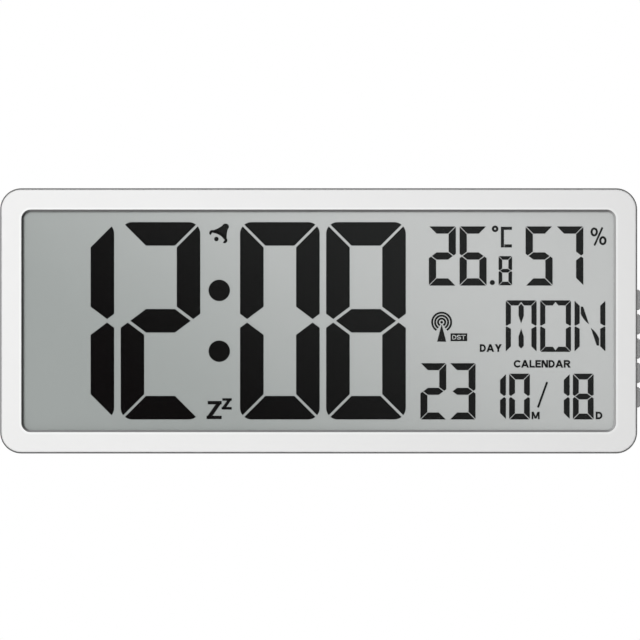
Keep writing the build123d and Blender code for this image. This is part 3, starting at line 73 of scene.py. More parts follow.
# %% [markdown]
# The camera stands far away behind a very long lens, so the case shows hardly any side wall, as in a
# catalogue picture. A flat camera without perspective would do it too, but a far one stays usable when
# it is moved round the clock. Its field is as wide at the front face as the picture is there.

# %% Camera
VIEW_DISTANCE = 12.0
VIEW_WIDTH = 367.35 * MM
VIEW_X = 0.76 * MM
VIEW_Z = 0.5 * MM

front_y = cad_box[0][1]
camera_data = bpy.data.cameras.new("camera")
camera_data.lens = camera_data.sensor_width * VIEW_DISTANCE / VIEW_WIDTH
camera = bpy.data.objects.new("camera", camera_data)
camera.location = (VIEW_X, front_y - VIEW_DISTANCE, VIEW_Z)
camera.rotation_euler = (math.pi / 2, 0, 0)
bpy.context.collection.objects.link(camera)
bpy.context.scene.camera = camera
bpy.context.scene.view_settings.view_transform = "Standard"
print("lens", round(camera_data.lens), "mm")

# %% [markdown]
# A lamp's level is the brightness that it gives a white card facing it, so the levels of the lamps and
# of the sky add up to about 1 on the front face. The key lamp hangs a little to the left, which makes
# the frame fade slightly to the right. Two lamps behind light the back for views from there.

# %% Lamps
# Each lamp's place and size in metres, and its level
LAMPS = {
    "key_lamp": ((-0.32, -1.0, 0.18), 0.5, 0.52),
    "fill_lamp": ((-0.1, -2.4, 0.1), 1.4, 0.335),
    "rear_lamp_left": ((-0.6, 2.1, 0.3), 1.2, 0.40),
    "rear_lamp_right": ((0.7, 2.1, 0.25), 1.2, 0.36),
}


def lamp(name, place, size, level):
    """Square lamp aimed at the origin. Its power is level times pi squared times distance squared."""
    data = bpy.data.lights.new(name, "AREA")
    data.size = size
    distance = np.linalg.norm(place)
    data.energy = level * math.pi ** 2 * distance ** 2
    item = bpy.data.objects.new(name, data)
    item.location = place
    x, y, z = -np.array(place) / distance
    item.rotation_euler = (math.acos(-z), 0, math.atan2(y, x) - math.pi / 2)
    bpy.context.collection.objects.link(item)
    return data.energy


powers = [lamp(name, *values) for name, values in LAMPS.items()]
print("lamp powers", np.round(powers, 1))

# %% [markdown]
# The picture's ground is plain white. The sky is white where the camera, a gloss or a clear layer looks
# at it, and dim for all other rays, so that it whitens the ground and not the clock. A plain dim sky
# would do for the clock alone, but it would leave the ground grey.

# %% Sky
SKY_LEVEL = 0.16
SKY_WHITE = 1.0
WHITE = (1, 1, 1, 1)


def math_node(tree, operation, first, second=None):
    """Math node with each input linked to a socket or set to a number."""
    node = tree.nodes.new("ShaderNodeMath")
    node.operation = operation
    for socket, value in zip(node.inputs, (first, second)):
        if isinstance(value, (int, float)):
            socket.default_value = value
        elif value is not None:
            tree.links.new(value, socket)
    return node.outputs[0]


def mapped(tree, value, start, stop, low=0.0, high=1.0, smooth=False):
    """Number from low to high as the value runs from start to stop, straight or as a smooth step."""
    node = tree.nodes.new("ShaderNodeMapRange")
    node.interpolation_type = "SMOOTHSTEP" if smooth else "LINEAR"
    for label, number in zip(("From Min", "From Max", "To Min", "To Max"), (start, stop, low, high)):
        node.inputs[label].default_value = number
    tree.links.new(value, node.inputs["Value"])
    return node.outputs["Result"]


def shown_rays(tree):
    """Mask that is 1 for camera, glossy and transmission rays, and 0 for the rays that carry light."""
    path = tree.nodes.new("ShaderNodeLightPath")
    mask = math_node(tree, "MAXIMUM", path.outputs["Is Camera Ray"], path.outputs["Is Glossy Ray"])
    return math_node(tree, "MAXIMUM", mask, path.outputs["Is Transmission Ray"])


world = bpy.data.worlds.new("sky")
world.use_nodes = True
sky = world.node_tree
sky_shader = sky.nodes["Background"]
sky_shader.inputs["Color"].default_value = WHITE
sky_strength = mapped(sky, shown_rays(sky), 0, 1, SKY_LEVEL, SKY_WHITE)
sky.links.new(sky_strength, sky_shader.inputs["Strength"])
bpy.context.scene.world = world
print("sky", SKY_LEVEL, "for light and", SKY_WHITE, "to look at")

# %% [markdown]
# The pale floor lies well below the clock and glows for the same rays that see the white sky, so that the
# ground stays light in views from above. It can be looked through from underneath, for views from below.

# %% Floor
FLOOR_Z = -0.56
FLOOR_HALF = 18.0
FLOOR_COLOUR = (0.40, 0.40, 0.40, 1)
FLOOR_ROUGHNESS = 0.8
FLOOR_GLOW = 0.72

floor_mesh = bpy.data.meshes.new("floor")
floor_sides = np.array([(-1, -1), (1, -1), (1, 1), (-1, 1)]) * FLOOR_HALF
floor_corners = np.column_stack([floor_sides, np.full(4, FLOOR_Z)])
floor_mesh.from_pydata(floor_corners.tolist(), [], [(0, 1, 2, 3)])
floor = bpy.data.objects.new("floor", floor_mesh)
bpy.context.collection.objects.link(floor)
floor_paint = bpy.data.materials.new("floor_paint")
floor_paint.use_nodes = True
floor_tree = floor_paint.node_tree
floor_shader = floor_tree.nodes["Principled BSDF"]
floor_shader.inputs["Base Color"].default_value = FLOOR_COLOUR
floor_shader.inputs["Roughness"].default_value = FLOOR_ROUGHNESS
floor_shader.inputs["Emission Color"].default_value = WHITE
floor_glow = math_node(floor_tree, "MULTIPLY", shown_rays(floor_tree), FLOOR_GLOW)
floor_tree.links.new(floor_glow, floor_shader.inputs["Emission Strength"])
floor_side = floor_tree.nodes.new("ShaderNodeNewGeometry")
floor_cover = math_node(floor_tree, "SUBTRACT", 1.0, floor_side.outputs["Backfacing"])
floor_tree.links.new(floor_cover, floor_shader.inputs["Alpha"])
floor_mesh.materials.append(floor_paint)
print("floor", 2 * FLOOR_HALF, "m wide, at", FLOOR_Z, "m")

# %% [markdown]
# Real plastic is never one flat colour. A shared group of shader nodes gives each material two fields
# on the piece's own coordinates: a fine grain for the bump, and a broad mottle for colour and gloss.
# Painted pictures could do this too, but noise has no seams and no limit to its sharpness.

# %% Shader group with grain and mottle
GRAIN_SCALE, GRAIN_DETAIL = 2000.0, 2.0
MOTTLE_SCALE, MOTTLE_DETAIL = 40.0, 4.0


def new_group(name, inputs, outputs):
    """Empty shader group with number inputs, each with its first value, and number outputs."""
    group = bpy.data.node_groups.new(name, "ShaderNodeTree")
    for label, value in inputs:
        socket = group.interface.new_socket(label, in_out="INPUT", socket_type="NodeSocketFloat")
        socket.default_value = value
    for label in outputs:
        group.interface.new_socket(label, in_out="OUTPUT", socket_type="NodeSocketFloat")
    return group, group.nodes.new("NodeGroupInput"), group.nodes.new("NodeGroupOutput")


def surface_fields():
    """Group with a fine grain and a broad mottle, both noise on Object coordinates."""
    scales = [("Grain Scale", GRAIN_SCALE), ("Mottle Scale", MOTTLE_SCALE)]
    group, enter, leave = new_group("surface_fields", scales, ["Grain", "Mottle"])
    place = group.nodes.new("ShaderNodeTexCoord")
    for label, detail in (("Grain", GRAIN_DETAIL), ("Mottle", MOTTLE_DETAIL)):
        noise = group.nodes.new("ShaderNodeTexNoise")
        noise.inputs["Detail"].default_value = detail
        group.links.new(place.outputs["Object"], noise.inputs["Vector"])
        group.links.new(enter.outputs[f"{label} Scale"], noise.inputs["Scale"])
        group.links.new(noise.outputs["Fac"], leave.inputs[label])
    return group


FIELDS = surface_fields()
print("group", FIELDS.name, [item.name for item in FIELDS.interface.items_tree])

# %% [markdown]
# Every finish is built from the same few steps: a colour between two tones, a roughness between two
# values, and a bump. Each step is a small function that adds its nodes to a material.

# %% Steps of a finish
NOISE_LOW, NOISE_HIGH = 0.3, 0.7
# A Mix node's sockets repeat their names, so its factor, two colours and result go by number
MIX_FACTOR, MIX_FIRST, MIX_SECOND, MIX_RESULT = 0, 6, 7, 2


def new_material(name):
    """Material with its Principled shader and a placed copy of the surface fields."""
    material = bpy.data.materials.new(name)
    material.use_nodes = True
    tree = material.node_tree
    fields = tree.nodes.new("ShaderNodeGroup")
    fields.node_tree = FIELDS
    return material, tree, tree.nodes["Principled BSDF"], fields


def two_tone(tree, shader, factor, dark, light):
    """Base colour that runs from dark to light with a factor. Each tone is a colour or a socket."""
    blend = tree.nodes.new("ShaderNodeMix")
    blend.data_type = "RGBA"
    for number, tone in ((MIX_FIRST, dark), (MIX_SECOND, light)):
        if isinstance(tone, tuple):
            blend.inputs[number].default_value = (*tone, 1)
        else:
            tree.links.new(tone, blend.inputs[number])
    tree.links.new(factor, blend.inputs[MIX_FACTOR])
    tree.links.new(blend.outputs[MIX_RESULT], shader.inputs["Base Color"])


def vary_roughness(tree, shader, factor, low, high):
    """Roughness that runs from low to high as a noise field runs over its usual range."""
    roughness = mapped(tree, factor, NOISE_LOW, NOISE_HIGH, low, high)
    tree.links.new(roughness, shader.inputs["Roughness"])


def grain_bump(tree, shader, height, strength, depth):
    """Bump from a height field, depth in metres."""
    bump = tree.nodes.new("ShaderNodeBump")
    bump.inputs["Strength"].default_value = strength
    bump.inputs["Distance"].default_value = depth
    tree.links.new(height, bump.inputs["Height"])
    tree.links.new(bump.outputs["Normal"], shader.inputs["Normal"])


def shade(colour, factor):
    """Colour made darker or lighter by a factor."""
    return tuple(min(1.0, channel * factor) for channel in colour)


print("noise counts from", NOISE_LOW, "to", NOISE_HIGH)

# %% [markdown]
# Most of the clock is moulded plastic. The steel of the mould is spark-eroded, so the plastic has a fine
# even grain, and its gloss wanders a little. Metal pieces are plated or rolled, with mill marks and a
# slight tarnish. The same function with other numbers serves every plastic, and another every metal.

# %% Moulded plastic and plated metal
MOULD_DEPTH = 0.06 * MM
MOULD_GLOSS = 0.35
MOULD_WANDER = 0.06
MILL_DEPTH = 0.02 * MM
MILL_STRENGTH = 0.2
MILL_GRAIN, MILL_MOTTLE = 3200.0, 160.0
POLISH, TARNISH = 0.08, 0.1


def moulded(name, colour, roughness=0.5, spread=0.03, grain=2200.0, mottle=35.0, strength=0.25):
    """Moulded plastic: fine spark-eroded grain, slight mottle in colour and gloss."""
    material, tree, shader, fields = new_material(name)
    fields.inputs["Grain Scale"].default_value = grain
    fields.inputs["Mottle Scale"].default_value = mottle
    two_tone(tree, shader, fields.outputs["Mottle"], shade(colour, 1 - spread), shade(colour, 1 + spread))
    low, high = roughness - MOULD_WANDER, roughness + MOULD_WANDER
    vary_roughness(tree, shader, fields.outputs["Mottle"], low, high)
    grain_bump(tree, shader, fields.outputs["Grain"], strength, MOULD_DEPTH)
    shader.inputs["Specular IOR Level"].default_value = MOULD_GLOSS
    return material


def plated(name, colour, roughness=0.3, spread=0.08):
    """Plated or rolled metal, with fine mill marks and slight tarnish."""
    material, tree, shader, fields = new_material(name)
    fields.inputs["Grain Scale"].default_value = MILL_GRAIN
    fields.inputs["Mottle Scale"].default_value = MILL_MOTTLE
    shader.inputs["Metallic"].default_value = 1.0
    two_tone(tree, shader, fields.outputs["Mottle"], shade(colour, 1 - spread), shade(colour, 1 + spread))
    vary_roughness(tree, shader, fields.outputs["Mottle"], roughness - POLISH, roughness + TARNISH)
    grain_bump(tree, shader, fields.outputs["Grain"], MILL_STRENGTH, MILL_DEPTH)
    return material


print("mould grain", MOULD_DEPTH, "m deep")

# %% [markdown]
# The display is a stack: a polarizing film, glass, liquid crystal, glass and a frosted reflector, which
# sends room light back through the cell. The display is even in the lower left and in the upper right
# and brightens between them, and the reflector's colour follows this with painted light, a smooth step
# across the window. Where the crystal is switched on, it is near black, with painted light that makes it
# a little greyer where the display is brighter. The clear layers are almost wholly see-through.

# %% Display finishes
# Reflector and crystal tones run from painted shade in the lower left to painted light in the upper right
REFLECTOR_PAINTED_SHADE = (0.328, 0.351, 0.342)
REFLECTOR_PAINTED_LIGHT = (0.566, 0.579, 0.573)
REFLECTOR_ROUGHNESS, REFLECTOR_GLOSS = 0.7, 0.2
SPARKLE_GRAIN, SPARKLE_STRENGTH = 5200.0, 0.15
CRYSTAL_DARK = (0.0006, 0.0001, 0.0002)
CRYSTAL_PAINTED_LIGHT = (0.0165, 0.0175, 0.0172)
CRYSTAL_ROUGHNESS, CRYSTAL_GLOSS, CRYSTAL_STRENGTH = 0.6, 0.01, 0.1
CLEAR_MOTTLE, CLEAR_SPREAD = 12.0, 0.03
SHARE_X, SHARE_Z = 0.985, 0.426

window_low, window_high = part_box("lcd_front_polarizer")
window_width = window_high.x - window_low.x
window_height = window_high.z - window_low.z


def dot_product(tree, vector, weights):
    """Sum of a vector's parts, each times its weight."""
    product = tree.nodes.new("ShaderNodeVectorMath")
    product.operation = "DOT_PRODUCT"
    product.inputs[1].default_value = weights
    tree.links.new(vector, product.inputs[0])
    return product.outputs["Value"]


def slanted(tree, vector, weights):
    """Field that steps smoothly from 0 to 1 as the dot product with weights runs from -1/2 to 1/2."""
    return mapped(tree, dot_product(tree, vector, weights), -0.5, 0.5, smooth=True)


def painted_light_field(tree):
    """Slanted field of painted light: it takes a share of its range across the window, and another up the
    window.
    """
    place = tree.nodes.new("ShaderNodeTexCoord")
    weights = (SHARE_X / window_width, 0, SHARE_Z / window_height)
    return slanted(tree, place.outputs["Object"], weights)


def clear_layer(name, tint, alpha, roughness):
    """Thin clear layer: what lies behind it shows through, and the rest is its own faint tint."""
    material, tree, shader, fields = new_material(name)
    fields.inputs["Mottle Scale"].default_value = CLEAR_MOTTLE
    dark, light = shade(tint, 1 - CLEAR_SPREAD), shade(tint, 1 + CLEAR_SPREAD)
    two_tone(tree, shader, fields.outputs["Mottle"], dark, light)
    shader.inputs["Roughness"].default_value = roughness
    shader.inputs["Alpha"].default_value = alpha
    return material


def reflector_film():
    """Frosted reflector film with painted light in a slanted gradient, and a very fine sparkle."""
    material, tree, shader, fields = new_material("reflector_film")
    fields.inputs["Grain Scale"].default_value = SPARKLE_GRAIN
    two_tone(tree, shader, painted_light_field(tree), REFLECTOR_PAINTED_SHADE, REFLECTOR_PAINTED_LIGHT)
    shader.inputs["Roughness"].default_value = REFLECTOR_ROUGHNESS
    shader.inputs["Specular IOR Level"].default_value = REFLECTOR_GLOSS
    grain_bump(tree, shader, fields.outputs["Grain"], SPARKLE_STRENGTH, MILL_DEPTH)
    return material


def lit_crystal():
    """Liquid crystal where it is switched on: near black, with painted light that makes it greyer where the
    display is brighter.
    """
    material, tree, shader, fields = new_material("lit_crystal")
    two_tone(tree, shader, painted_light_field(tree), CRYSTAL_DARK, CRYSTAL_PAINTED_LIGHT)
    shader.inputs["Roughness"].default_value = CRYSTAL_ROUGHNESS
    shader.inputs["Specular IOR Level"].default_value = CRYSTAL_GLOSS
    grain_bump(tree, shader, fields.outputs["Grain"], CRYSTAL_STRENGTH, MILL_DEPTH / 2)
    return material


print("window", round(window_width, 4), "by", round(window_height, 4), "m")

# %% [markdown]
# The frame is a pale silver moulding. Its rim at the window is a little lighter than its face, a
# painted highlight of the small round. Painting the rim as a piece of its own would leave a hard border, so
# a group measures how far a point lies from a rounded rectangle, and the finish lightens close to the window
# with the painted highlight.

# %% Silver finish of the frame, with its painted highlight
SILVER = (0.806, 0.806, 0.803)
RIM_PAINTED_HIGHLIGHT = (0.885, 0.89, 0.885)
WINDOW_CORNER = 5.5 * MM
RIM_NEAR, RIM_FAR = 0.45 * MM, 1.5 * MM
SILVER_GLOSS = 0.2

window_half = np.array([window_width, window_height]) / 2
rim_sizes = {"Half Width": window_half[0], "Half Height": window_half[1], "Radius": WINDOW_CORNER}


def rounded_distance():
    """Group: distance to a rounded rectangle about the origin, below zero inside it."""
    group, enter, leave = new_group("rounded_distance", rim_sizes.items(), ["Distance"])
    place = group.nodes.new("ShaderNodeTexCoord")
    split = group.nodes.new("ShaderNodeSeparateXYZ")
    group.links.new(place.outputs["Object"], split.inputs[0])
    beyond = []
    for axis, label in (("X", "Half Width"), ("Z", "Half Height")):
        straight = math_node(group, "SUBTRACT", enter.outputs[label], enter.outputs["Radius"])
        away = math_node(group, "ABSOLUTE", split.outputs[axis])
        beyond.append(math_node(group, "SUBTRACT", away, straight))
    squares = [math_node(group, "POWER", math_node(group, "MAXIMUM", part, 0.0), 2.0) for part in beyond]
    outside = math_node(group, "SQRT", math_node(group, "ADD", *squares))
    inside = math_node(group, "MINIMUM", math_node(group, "MAXIMUM", *beyond), 0.0)
    from_straight = math_node(group, "ADD", outside, inside)
    distance = math_node(group, "SUBTRACT", from_straight, enter.outputs["Radius"])
    group.links.new(distance, leave.inputs["Distance"])
    return group


ROUNDED = rounded_distance()


def silver_coat():
    """Pale silver with fine grain, and a painted highlight close to the window's edge."""
    material = moulded("silver_coat", SILVER, roughness=0.5, spread=0.012)
    tree = material.node_tree
    shader = tree.nodes["Principled BSDF"]
    rim = tree.nodes.new("ShaderNodeGroup")
    rim.node_tree = ROUNDED
    for label, value in rim_sizes.items():
        rim.inputs[label].default_value = value
    plain = shader.inputs["Base Color"].links[0].from_socket
    # Painted highlight: the colour lightens close to the window's edge
    rim_highlight = mapped(tree, rim.outputs["Distance"], RIM_NEAR, RIM_FAR, 1.0, 0.0, smooth=True)
    two_tone(tree, shader, rim_highlight, plain, RIM_PAINTED_HIGHLIGHT)
    shader.inputs["Specular IOR Level"].default_value = SILVER_GLOSS
    return material


print("rim is", round(RIM_FAR, 5), "m wide")

# %% [markdown]
# A round cell wears a shrunk sleeve, dark along the body with a lighter band by the plus end, which shows
# the way round that it goes in. The sleeve could be two pieces, but it is one skin, so the band is
# where X on the cell passes a limit.

# %% Sleeve of the batteries
SLEEVE_DARK = (0.045, 0.048, 0.052)
SLEEVE_BAND = (0.52, 0.30, 0.14)
SLEEVE_ROUGHNESS = (0.24, 0.34)
SLEEVE_STRENGTH = 0.1
BAND_START = 9.0 * MM


def battery_sleeve(name, side):
    """Glossy sleeve; its band lies beyond a limit along X, on the side of the plus end."""
    material, tree, shader, fields = new_material(name)
    place = tree.nodes.new("ShaderNodeTexCoord")
    toward = dot_product(tree, place.outputs["Object"], (side, 0, 0))
    beyond = math_node(tree, "GREATER_THAN", toward, BAND_START)
    two_tone(tree, shader, beyond, SLEEVE_DARK, SLEEVE_BAND)
    vary_roughness(tree, shader, fields.outputs["Mottle"], *SLEEVE_ROUGHNESS)
    grain_bump(tree, shader, fields.outputs["Grain"], SLEEVE_STRENGTH, MILL_DEPTH)
    return material


sleeves = {
    "battery_upper": battery_sleeve("sleeve_upper", 1),
    "battery_lower": battery_sleeve("sleeve_lower", -1),
}
print("sleeves", list(sleeves))

# %% [markdown]
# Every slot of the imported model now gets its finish, also inside the case, because the battery door
# opens and the vents let one look in. One table of slots keeps pieces of the same stuff alike. The rear
# glass takes the reflector's finish, so that light crosses few layers on its way through the display.

# %% Finishes of every slot
COVER_GREY = (0.50, 0.505, 0.505)
BUTTON_GREY = (0.82, 0.82, 0.815)

finishes = {
    "frame_plastic": silver_coat(),
    "cover_plastic": moulded("grey_moulding", COVER_GREY, roughness=0.58, strength=0.5, grain=1500.0),
    "button_plastic": moulded("button_moulding", BUTTON_GREY, roughness=0.5),
    "polarizer_film": clear_layer("polarizer_film", (0.6, 0.62, 0.61), alpha=0.02, roughness=0.35),
    "lcd_glass": clear_layer("cell_glass", (0.3, 0.31, 0.30), alpha=0.006, roughness=0.3),
    "lcd_marks": lit_crystal(),
    "lcd_reflector": reflector_film(),
    "gasket_rubber": moulded("gasket_foam", (0.03, 0.03, 0.03), roughness=0.85),
    "seal_resin": moulded("seal_resin", (0.35, 0.35, 0.33)),
    "retainer_plastic": moulded("retainer_moulding", (0.7, 0.7, 0.68)),
    "screw_steel": plated("zinc_plating", (0.62, 0.62, 0.61), roughness=0.35),
    "zebra_rubber": moulded("zebra_rubber", (0.22, 0.22, 0.24), roughness=0.8),
    "circuit_board": moulded("solder_mask", (0.03, 0.18, 0.08), roughness=0.35, spread=0.15),
    "potting_resin": moulded("potting_resin", (0.015, 0.015, 0.015), roughness=0.2),
    "crystal_can": plated("crystal_can", (0.7, 0.7, 0.68), roughness=0.25),
    "capacitor_sleeve": moulded("capacitor_sleeve", (0.03, 0.04, 0.12), roughness=0.3),
    "header_plastic": moulded("natural_nylon", (0.75, 0.72, 0.62), roughness=0.5),
    "switch_plastic": moulded("switch_moulding", (0.03, 0.03, 0.03), roughness=0.5),
    "plunger_plastic": moulded("plunger_moulding", (0.06, 0.06, 0.06), roughness=0.4),
    "contact_metal": plated("nickel_plating", (0.72, 0.70, 0.65), roughness=0.25),
    "battery_jacket": moulded("battery_jacket", SLEEVE_DARK, roughness=0.3),
    "pad_rubber": moulded("pad_rubber", (0.03, 0.03, 0.03), roughness=0.8),
    "ferrite": moulded("sintered_ferrite", (0.06, 0.06, 0.065), roughness=0.6),
    "copper_winding": plated("copper_winding", (0.6, 0.27, 0.13), roughness=0.35),
    "buzzer_brass": plated("rolled_brass", (0.75, 0.57, 0.27), roughness=0.3),
    "buzzer_ceramic": moulded("silvered_ceramic", (0.8, 0.79, 0.75), roughness=0.4),
    "sensor_package": moulded("sensor_package", (0.75, 0.75, 0.73), roughness=0.45),
    "lead_red": moulded("red_insulation", (0.5, 0.02, 0.02), roughness=0.35),
    "lead_black": moulded("black_insulation", (0.02, 0.02, 0.02), roughness=0.35),
    "lead_grey": moulded("grey_insulation", (0.35, 0.35, 0.37), roughness=0.35),
}
slot_of = {entry["node"]: entry["material_slot"] for entry in frame["record"]["subparts"]}
own_finish = {"lcd_rear_glass": finishes["lcd_reflector"], **sleeves}
for name, node in nodes.items():
    node.data.materials.clear()
    node.data.materials.append(own_finish.get(name, finishes[slot_of[name]]))
print("finishes", len(finishes), "on", len(nodes), "nodes")

# %% [markdown]
# New pieces need closed meshes with outward faces. Faces that meet nearly flat are shaded as one smooth
# surface, and the other edges stay sharp. Subdividing could round the pieces too, but it would move
# their outlines off the real sizes.

# %% Mesh helpers
SMOOTH_ANGLE = math.radians(32)


def solid_mesh(name, vertices, faces, angle=SMOOTH_ANGLE):
    """Closed mesh with its faces turned outwards, and sharp edges where faces meet beyond an angle."""
    mesh = bpy.data.meshes.new(name)
    mesh.from_pydata(np.asarray(vertices).tolist(), [], faces)
    shape = bmesh.new()
    shape.from_mesh(mesh)
    bmesh.ops.recalc_face_normals(shape, faces=shape.faces)
    for edge in shape.edges:
        edge.smooth = len(edge.link_faces) == 2 and edge.calc_face_angle() < angle
    for face in shape.faces:
        face.smooth = True
    shape.to_mesh(mesh)
    shape.free()
    return mesh


def add_piece(name, mesh, slot, finish=None):
    """New piece at the origin with a slot's finish, or its own, riding on the clock."""
    piece = bpy.data.objects.new(name, mesh)
    bpy.context.collection.objects.link(piece)
    mesh.materials.append(finish or finishes[slot])
    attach(piece, "clock")
    return piece


def ring_faces(rows, count, ring):
    """Quads between rows of points that each close on themselves; a ring joins its last row to its first."""
    row, column = np.meshgrid(np.arange(rows if ring else rows - 1), np.arange(count), indexing="ij")
    next_row, next_column = (row + 1) % rows, (column + 1) % count
    corners = [row * count + column, row * count + next_column]
    corners += [next_row * count + next_column, next_row * count + column]
    return np.stack(corners, axis=-1).reshape(-1, 4)


print("smooth below", round(math.degrees(SMOOTH_ANGLE)), "degrees")

# %% [markdown]
# The frame is one moulding: a ring-shaped wall with a face, an opening with a sloped edge, and small
# rounds where its surfaces meet. It is a profile carried round a rounded rectangle. Each station of
# the profile is a whole outline with its own half sizes, corner radius and depth, so a row of
# outlines makes the surface, and the last row joins the first. Bevelled boxes cut from each other could
# look the same, but the wall also leans in by its draft, which a row of outlines gives for free.

# %% Outlines of the frame
CORNER_STEPS = 14
CASE_CORNER = 12.2 * MM

frame_low, frame_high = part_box("front_frame")
case_half = np.array([frame_high.x, frame_high.z])
corner_turn = np.linspace(0, math.pi / 2, CORNER_STEPS)
outline_angle = np.concatenate([corner_turn + quarter * math.pi / 2 for quarter in range(4)])
side_x = np.repeat([1, -1, -1, 1], CORNER_STEPS)
side_z = np.repeat([1, 1, -1, -1], CORNER_STEPS)


def outline(half_size, radius, y):
    """Rounded rectangle at a depth: each corner's centre plus an arc of the radius."""
    x = side_x * (half_size[0] - radius) + radius * np.cos(outline_angle)
    z = side_z * (half_size[1] - radius) + radius * np.sin(outline_angle)
    return np.stack([x, np.full_like(x, y), z], axis=1)


def carried(stations, ring=True):
    """Points and faces of a row of outlines; without a ring, the first and last outline are capped."""
    rows = [outline(*station) for station in stations]
    count = len(outline_angle)
    faces = ring_faces(len(rows), count, ring).tolist()
    if not ring:
        faces += [list(range(count)), list(range((len(rows) - 1) * count, len(rows) * count))]
    return np.concatenate(rows), faces


def from_outer(inset, y):
    """Station set in from the outside of the case."""
    return case_half - inset, CASE_CORNER - inset, y


def from_window(spread, y):
    """Station spread outwards from the front edge of the window."""
    return window_half + spread, WINDOW_CORNER + spread, y


print("points in an outline", len(outline_angle))

# %% [markdown]
# The profile starts at the seam with the rear cover, leans in along the side wall, turns over a small
# round onto the face, runs to the window, turns over a smaller round onto the slope and comes back
# along the inside. Two short strips keep the shading of the flat face from bending at the rounds.

# %% Front frame
EDGE_STEPS = 8
DRAFT = 0.75 * MM
FACE_EDGE = 0.8 * MM
RIM_EDGE = 0.4 * MM
BEVEL_WIDTH = 1.4 * MM
BEVEL_DEPTH = 2.0 * MM
FACE_THICKNESS = 2.6 * MM
CASE_WALL = 2.2 * MM
SEAM_EDGE = 0.25 * MM
SUPPORT = 0.3 * MM
FRAME_SMOOTH_ANGLE = math.radians(25)

face_y, parting_y = frame_low.y, frame_high.y
quarter_turn = np.linspace(0, math.pi / 2, EDGE_STEPS)
rim_turn = np.linspace(0, math.atan2(BEVEL_DEPTH, BEVEL_WIDTH), EDGE_STEPS)
rim_reach = RIM_EDGE * math.tan(rim_turn[-1] / 2)

stations = [from_outer(SEAM_EDGE, parting_y), from_outer(0, parting_y - SEAM_EDGE)]
stations += [from_outer(DRAFT, face_y + FACE_EDGE + SUPPORT)]
side_rows = len(stations)
stations += [
    from_outer(DRAFT + FACE_EDGE * (1 - math.cos(t)), face_y + FACE_EDGE * (1 - math.sin(t)))
    for t in quarter_turn
]
stations += [from_outer(DRAFT + FACE_EDGE + SUPPORT, face_y), from_window(rim_reach + SUPPORT, face_y)]
stations += [
    from_window(rim_reach - RIM_EDGE * math.sin(t), face_y + RIM_EDGE * (1 - math.cos(t)))
    for t in rim_turn
]
face_rows = len(stations) - 1
stations += [from_window(-BEVEL_WIDTH, face_y + BEVEL_DEPTH)]
stations += [from_window(-BEVEL_WIDTH, face_y + FACE_THICKNESS)]
slope_rows = len(stations) - 1
stations += [from_outer(CASE_WALL, face_y + FACE_THICKNESS), from_outer(CASE_WALL, parting_y)]

corners, quads = carried(stations)
frame_mesh = solid_mesh("frame_shell", corners, quads, FRAME_SMOOTH_ANGLE)
frame_shell = add_piece("frame_shell", frame_mesh, "frame_plastic")
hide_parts("front_frame")
print("frame faces", len(quads))

# %% [markdown]
# The thin side wall is a dark line all round, and the four sides of the window's slope
# differ more than soft light alone would make them. Both carry painted shade in matt finishes of their own,
# and the one on the wall reaches a little way over the round. Each point of the frame keeps the outward
# direction of its outline, and the tone of the painted shade follows that direction.

# %% Painted shade of the side wall and of the slope
# Painted shade: tones of the side wall and the slope, darker or lighter with the outward direction
SIDE_SHADE_TONES = (0.14, 0.14, 0.139), (0.58, 0.58, 0.576)
SIDE_SHADE_WEIGHTS = (0.137, 0, 0.077)
SIDE_REACH_ROWS = 2
SLOPE_SHADE_TONES = (0.02, 0.02, 0.02), (0.47, 0.47, 0.47)
SLOPE_SHADE_WEIGHTS = (0.332, 0, -0.074)
SHADE_WANDER = 0.05
SHADE_BUMP_STRENGTH = 0.2

directions = np.stack([np.cos(outline_angle), np.zeros_like(outline_angle), np.sin(outline_angle)], axis=1)
outward = frame_mesh.attributes.new("outward", "FLOAT_VECTOR", "POINT")
outward.data.foreach_set("vector", np.tile(directions, (len(stations), 1)).astype(np.float32).ravel())


def facing_painted_shade(name, tones, weights, roughness, gloss):
    """Matt finish with painted shade: its tone runs between two values with the outward direction stored on
    the points.
    """
    material, tree, shader, fields = new_material(name)
    stored = tree.nodes.new("ShaderNodeAttribute")
    stored.attribute_name = "outward"
    two_tone(tree, shader, slanted(tree, stored.outputs["Vector"], weights), *tones)
    low, high = roughness - SHADE_WANDER, roughness + SHADE_WANDER
    vary_roughness(tree, shader, fields.outputs["Mottle"], low, high)
    shader.inputs["Specular IOR Level"].default_value = gloss
    grain_bump(tree, shader, fields.outputs["Grain"], SHADE_BUMP_STRENGTH, MOULD_DEPTH)
    return material


side_painted_shade = facing_painted_shade("side_painted_shade", SIDE_SHADE_TONES, SIDE_SHADE_WEIGHTS, roughness=0.7, gloss=0.0)
slope_painted_shade = facing_painted_shade("slope_painted_shade", SLOPE_SHADE_TONES, SLOPE_SHADE_WEIGHTS, roughness=0.65, gloss=0.1)
frame_mesh.materials.append(side_painted_shade)
frame_mesh.materials.append(slope_painted_shade)
row_of_face = np.arange(len(quads)) // len(outline_angle)
on_side = row_of_face < side_rows + SIDE_REACH_ROWS
on_slope = (row_of_face >= face_rows) & (row_of_face < slope_rows)
# Finish 0 is the silver, 1 the painted shade of the side and 2 the painted shade of the slope
frame_mesh.polygons.foreach_set("material_index", (on_side + 2 * on_slope).astype(np.int32))
print("faces on the side", int(on_side.sum()), "and on the slope", int(on_slope.sum()))

# %% [markdown]
# In front of the liquid crystal lies a glass plate with a polarizing film bonded to it. The two are one
# clear piece here, so that light crosses only two faces on its way in, as it would in the bonded pair.

# %% Clear front of the display
PLATE_CORNER = 1.2 * MM
PLATE_EDGE = 0.12 * MM

glass_low, glass_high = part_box("lcd_front_glass")


def plate_station(low, high, inset, y):
    """Outline of a plate at a depth, set in from the plate's box."""
    half_size = np.array([high.x - low.x, high.z - low.z]) / 2 - inset
    return half_size, PLATE_CORNER - inset, y


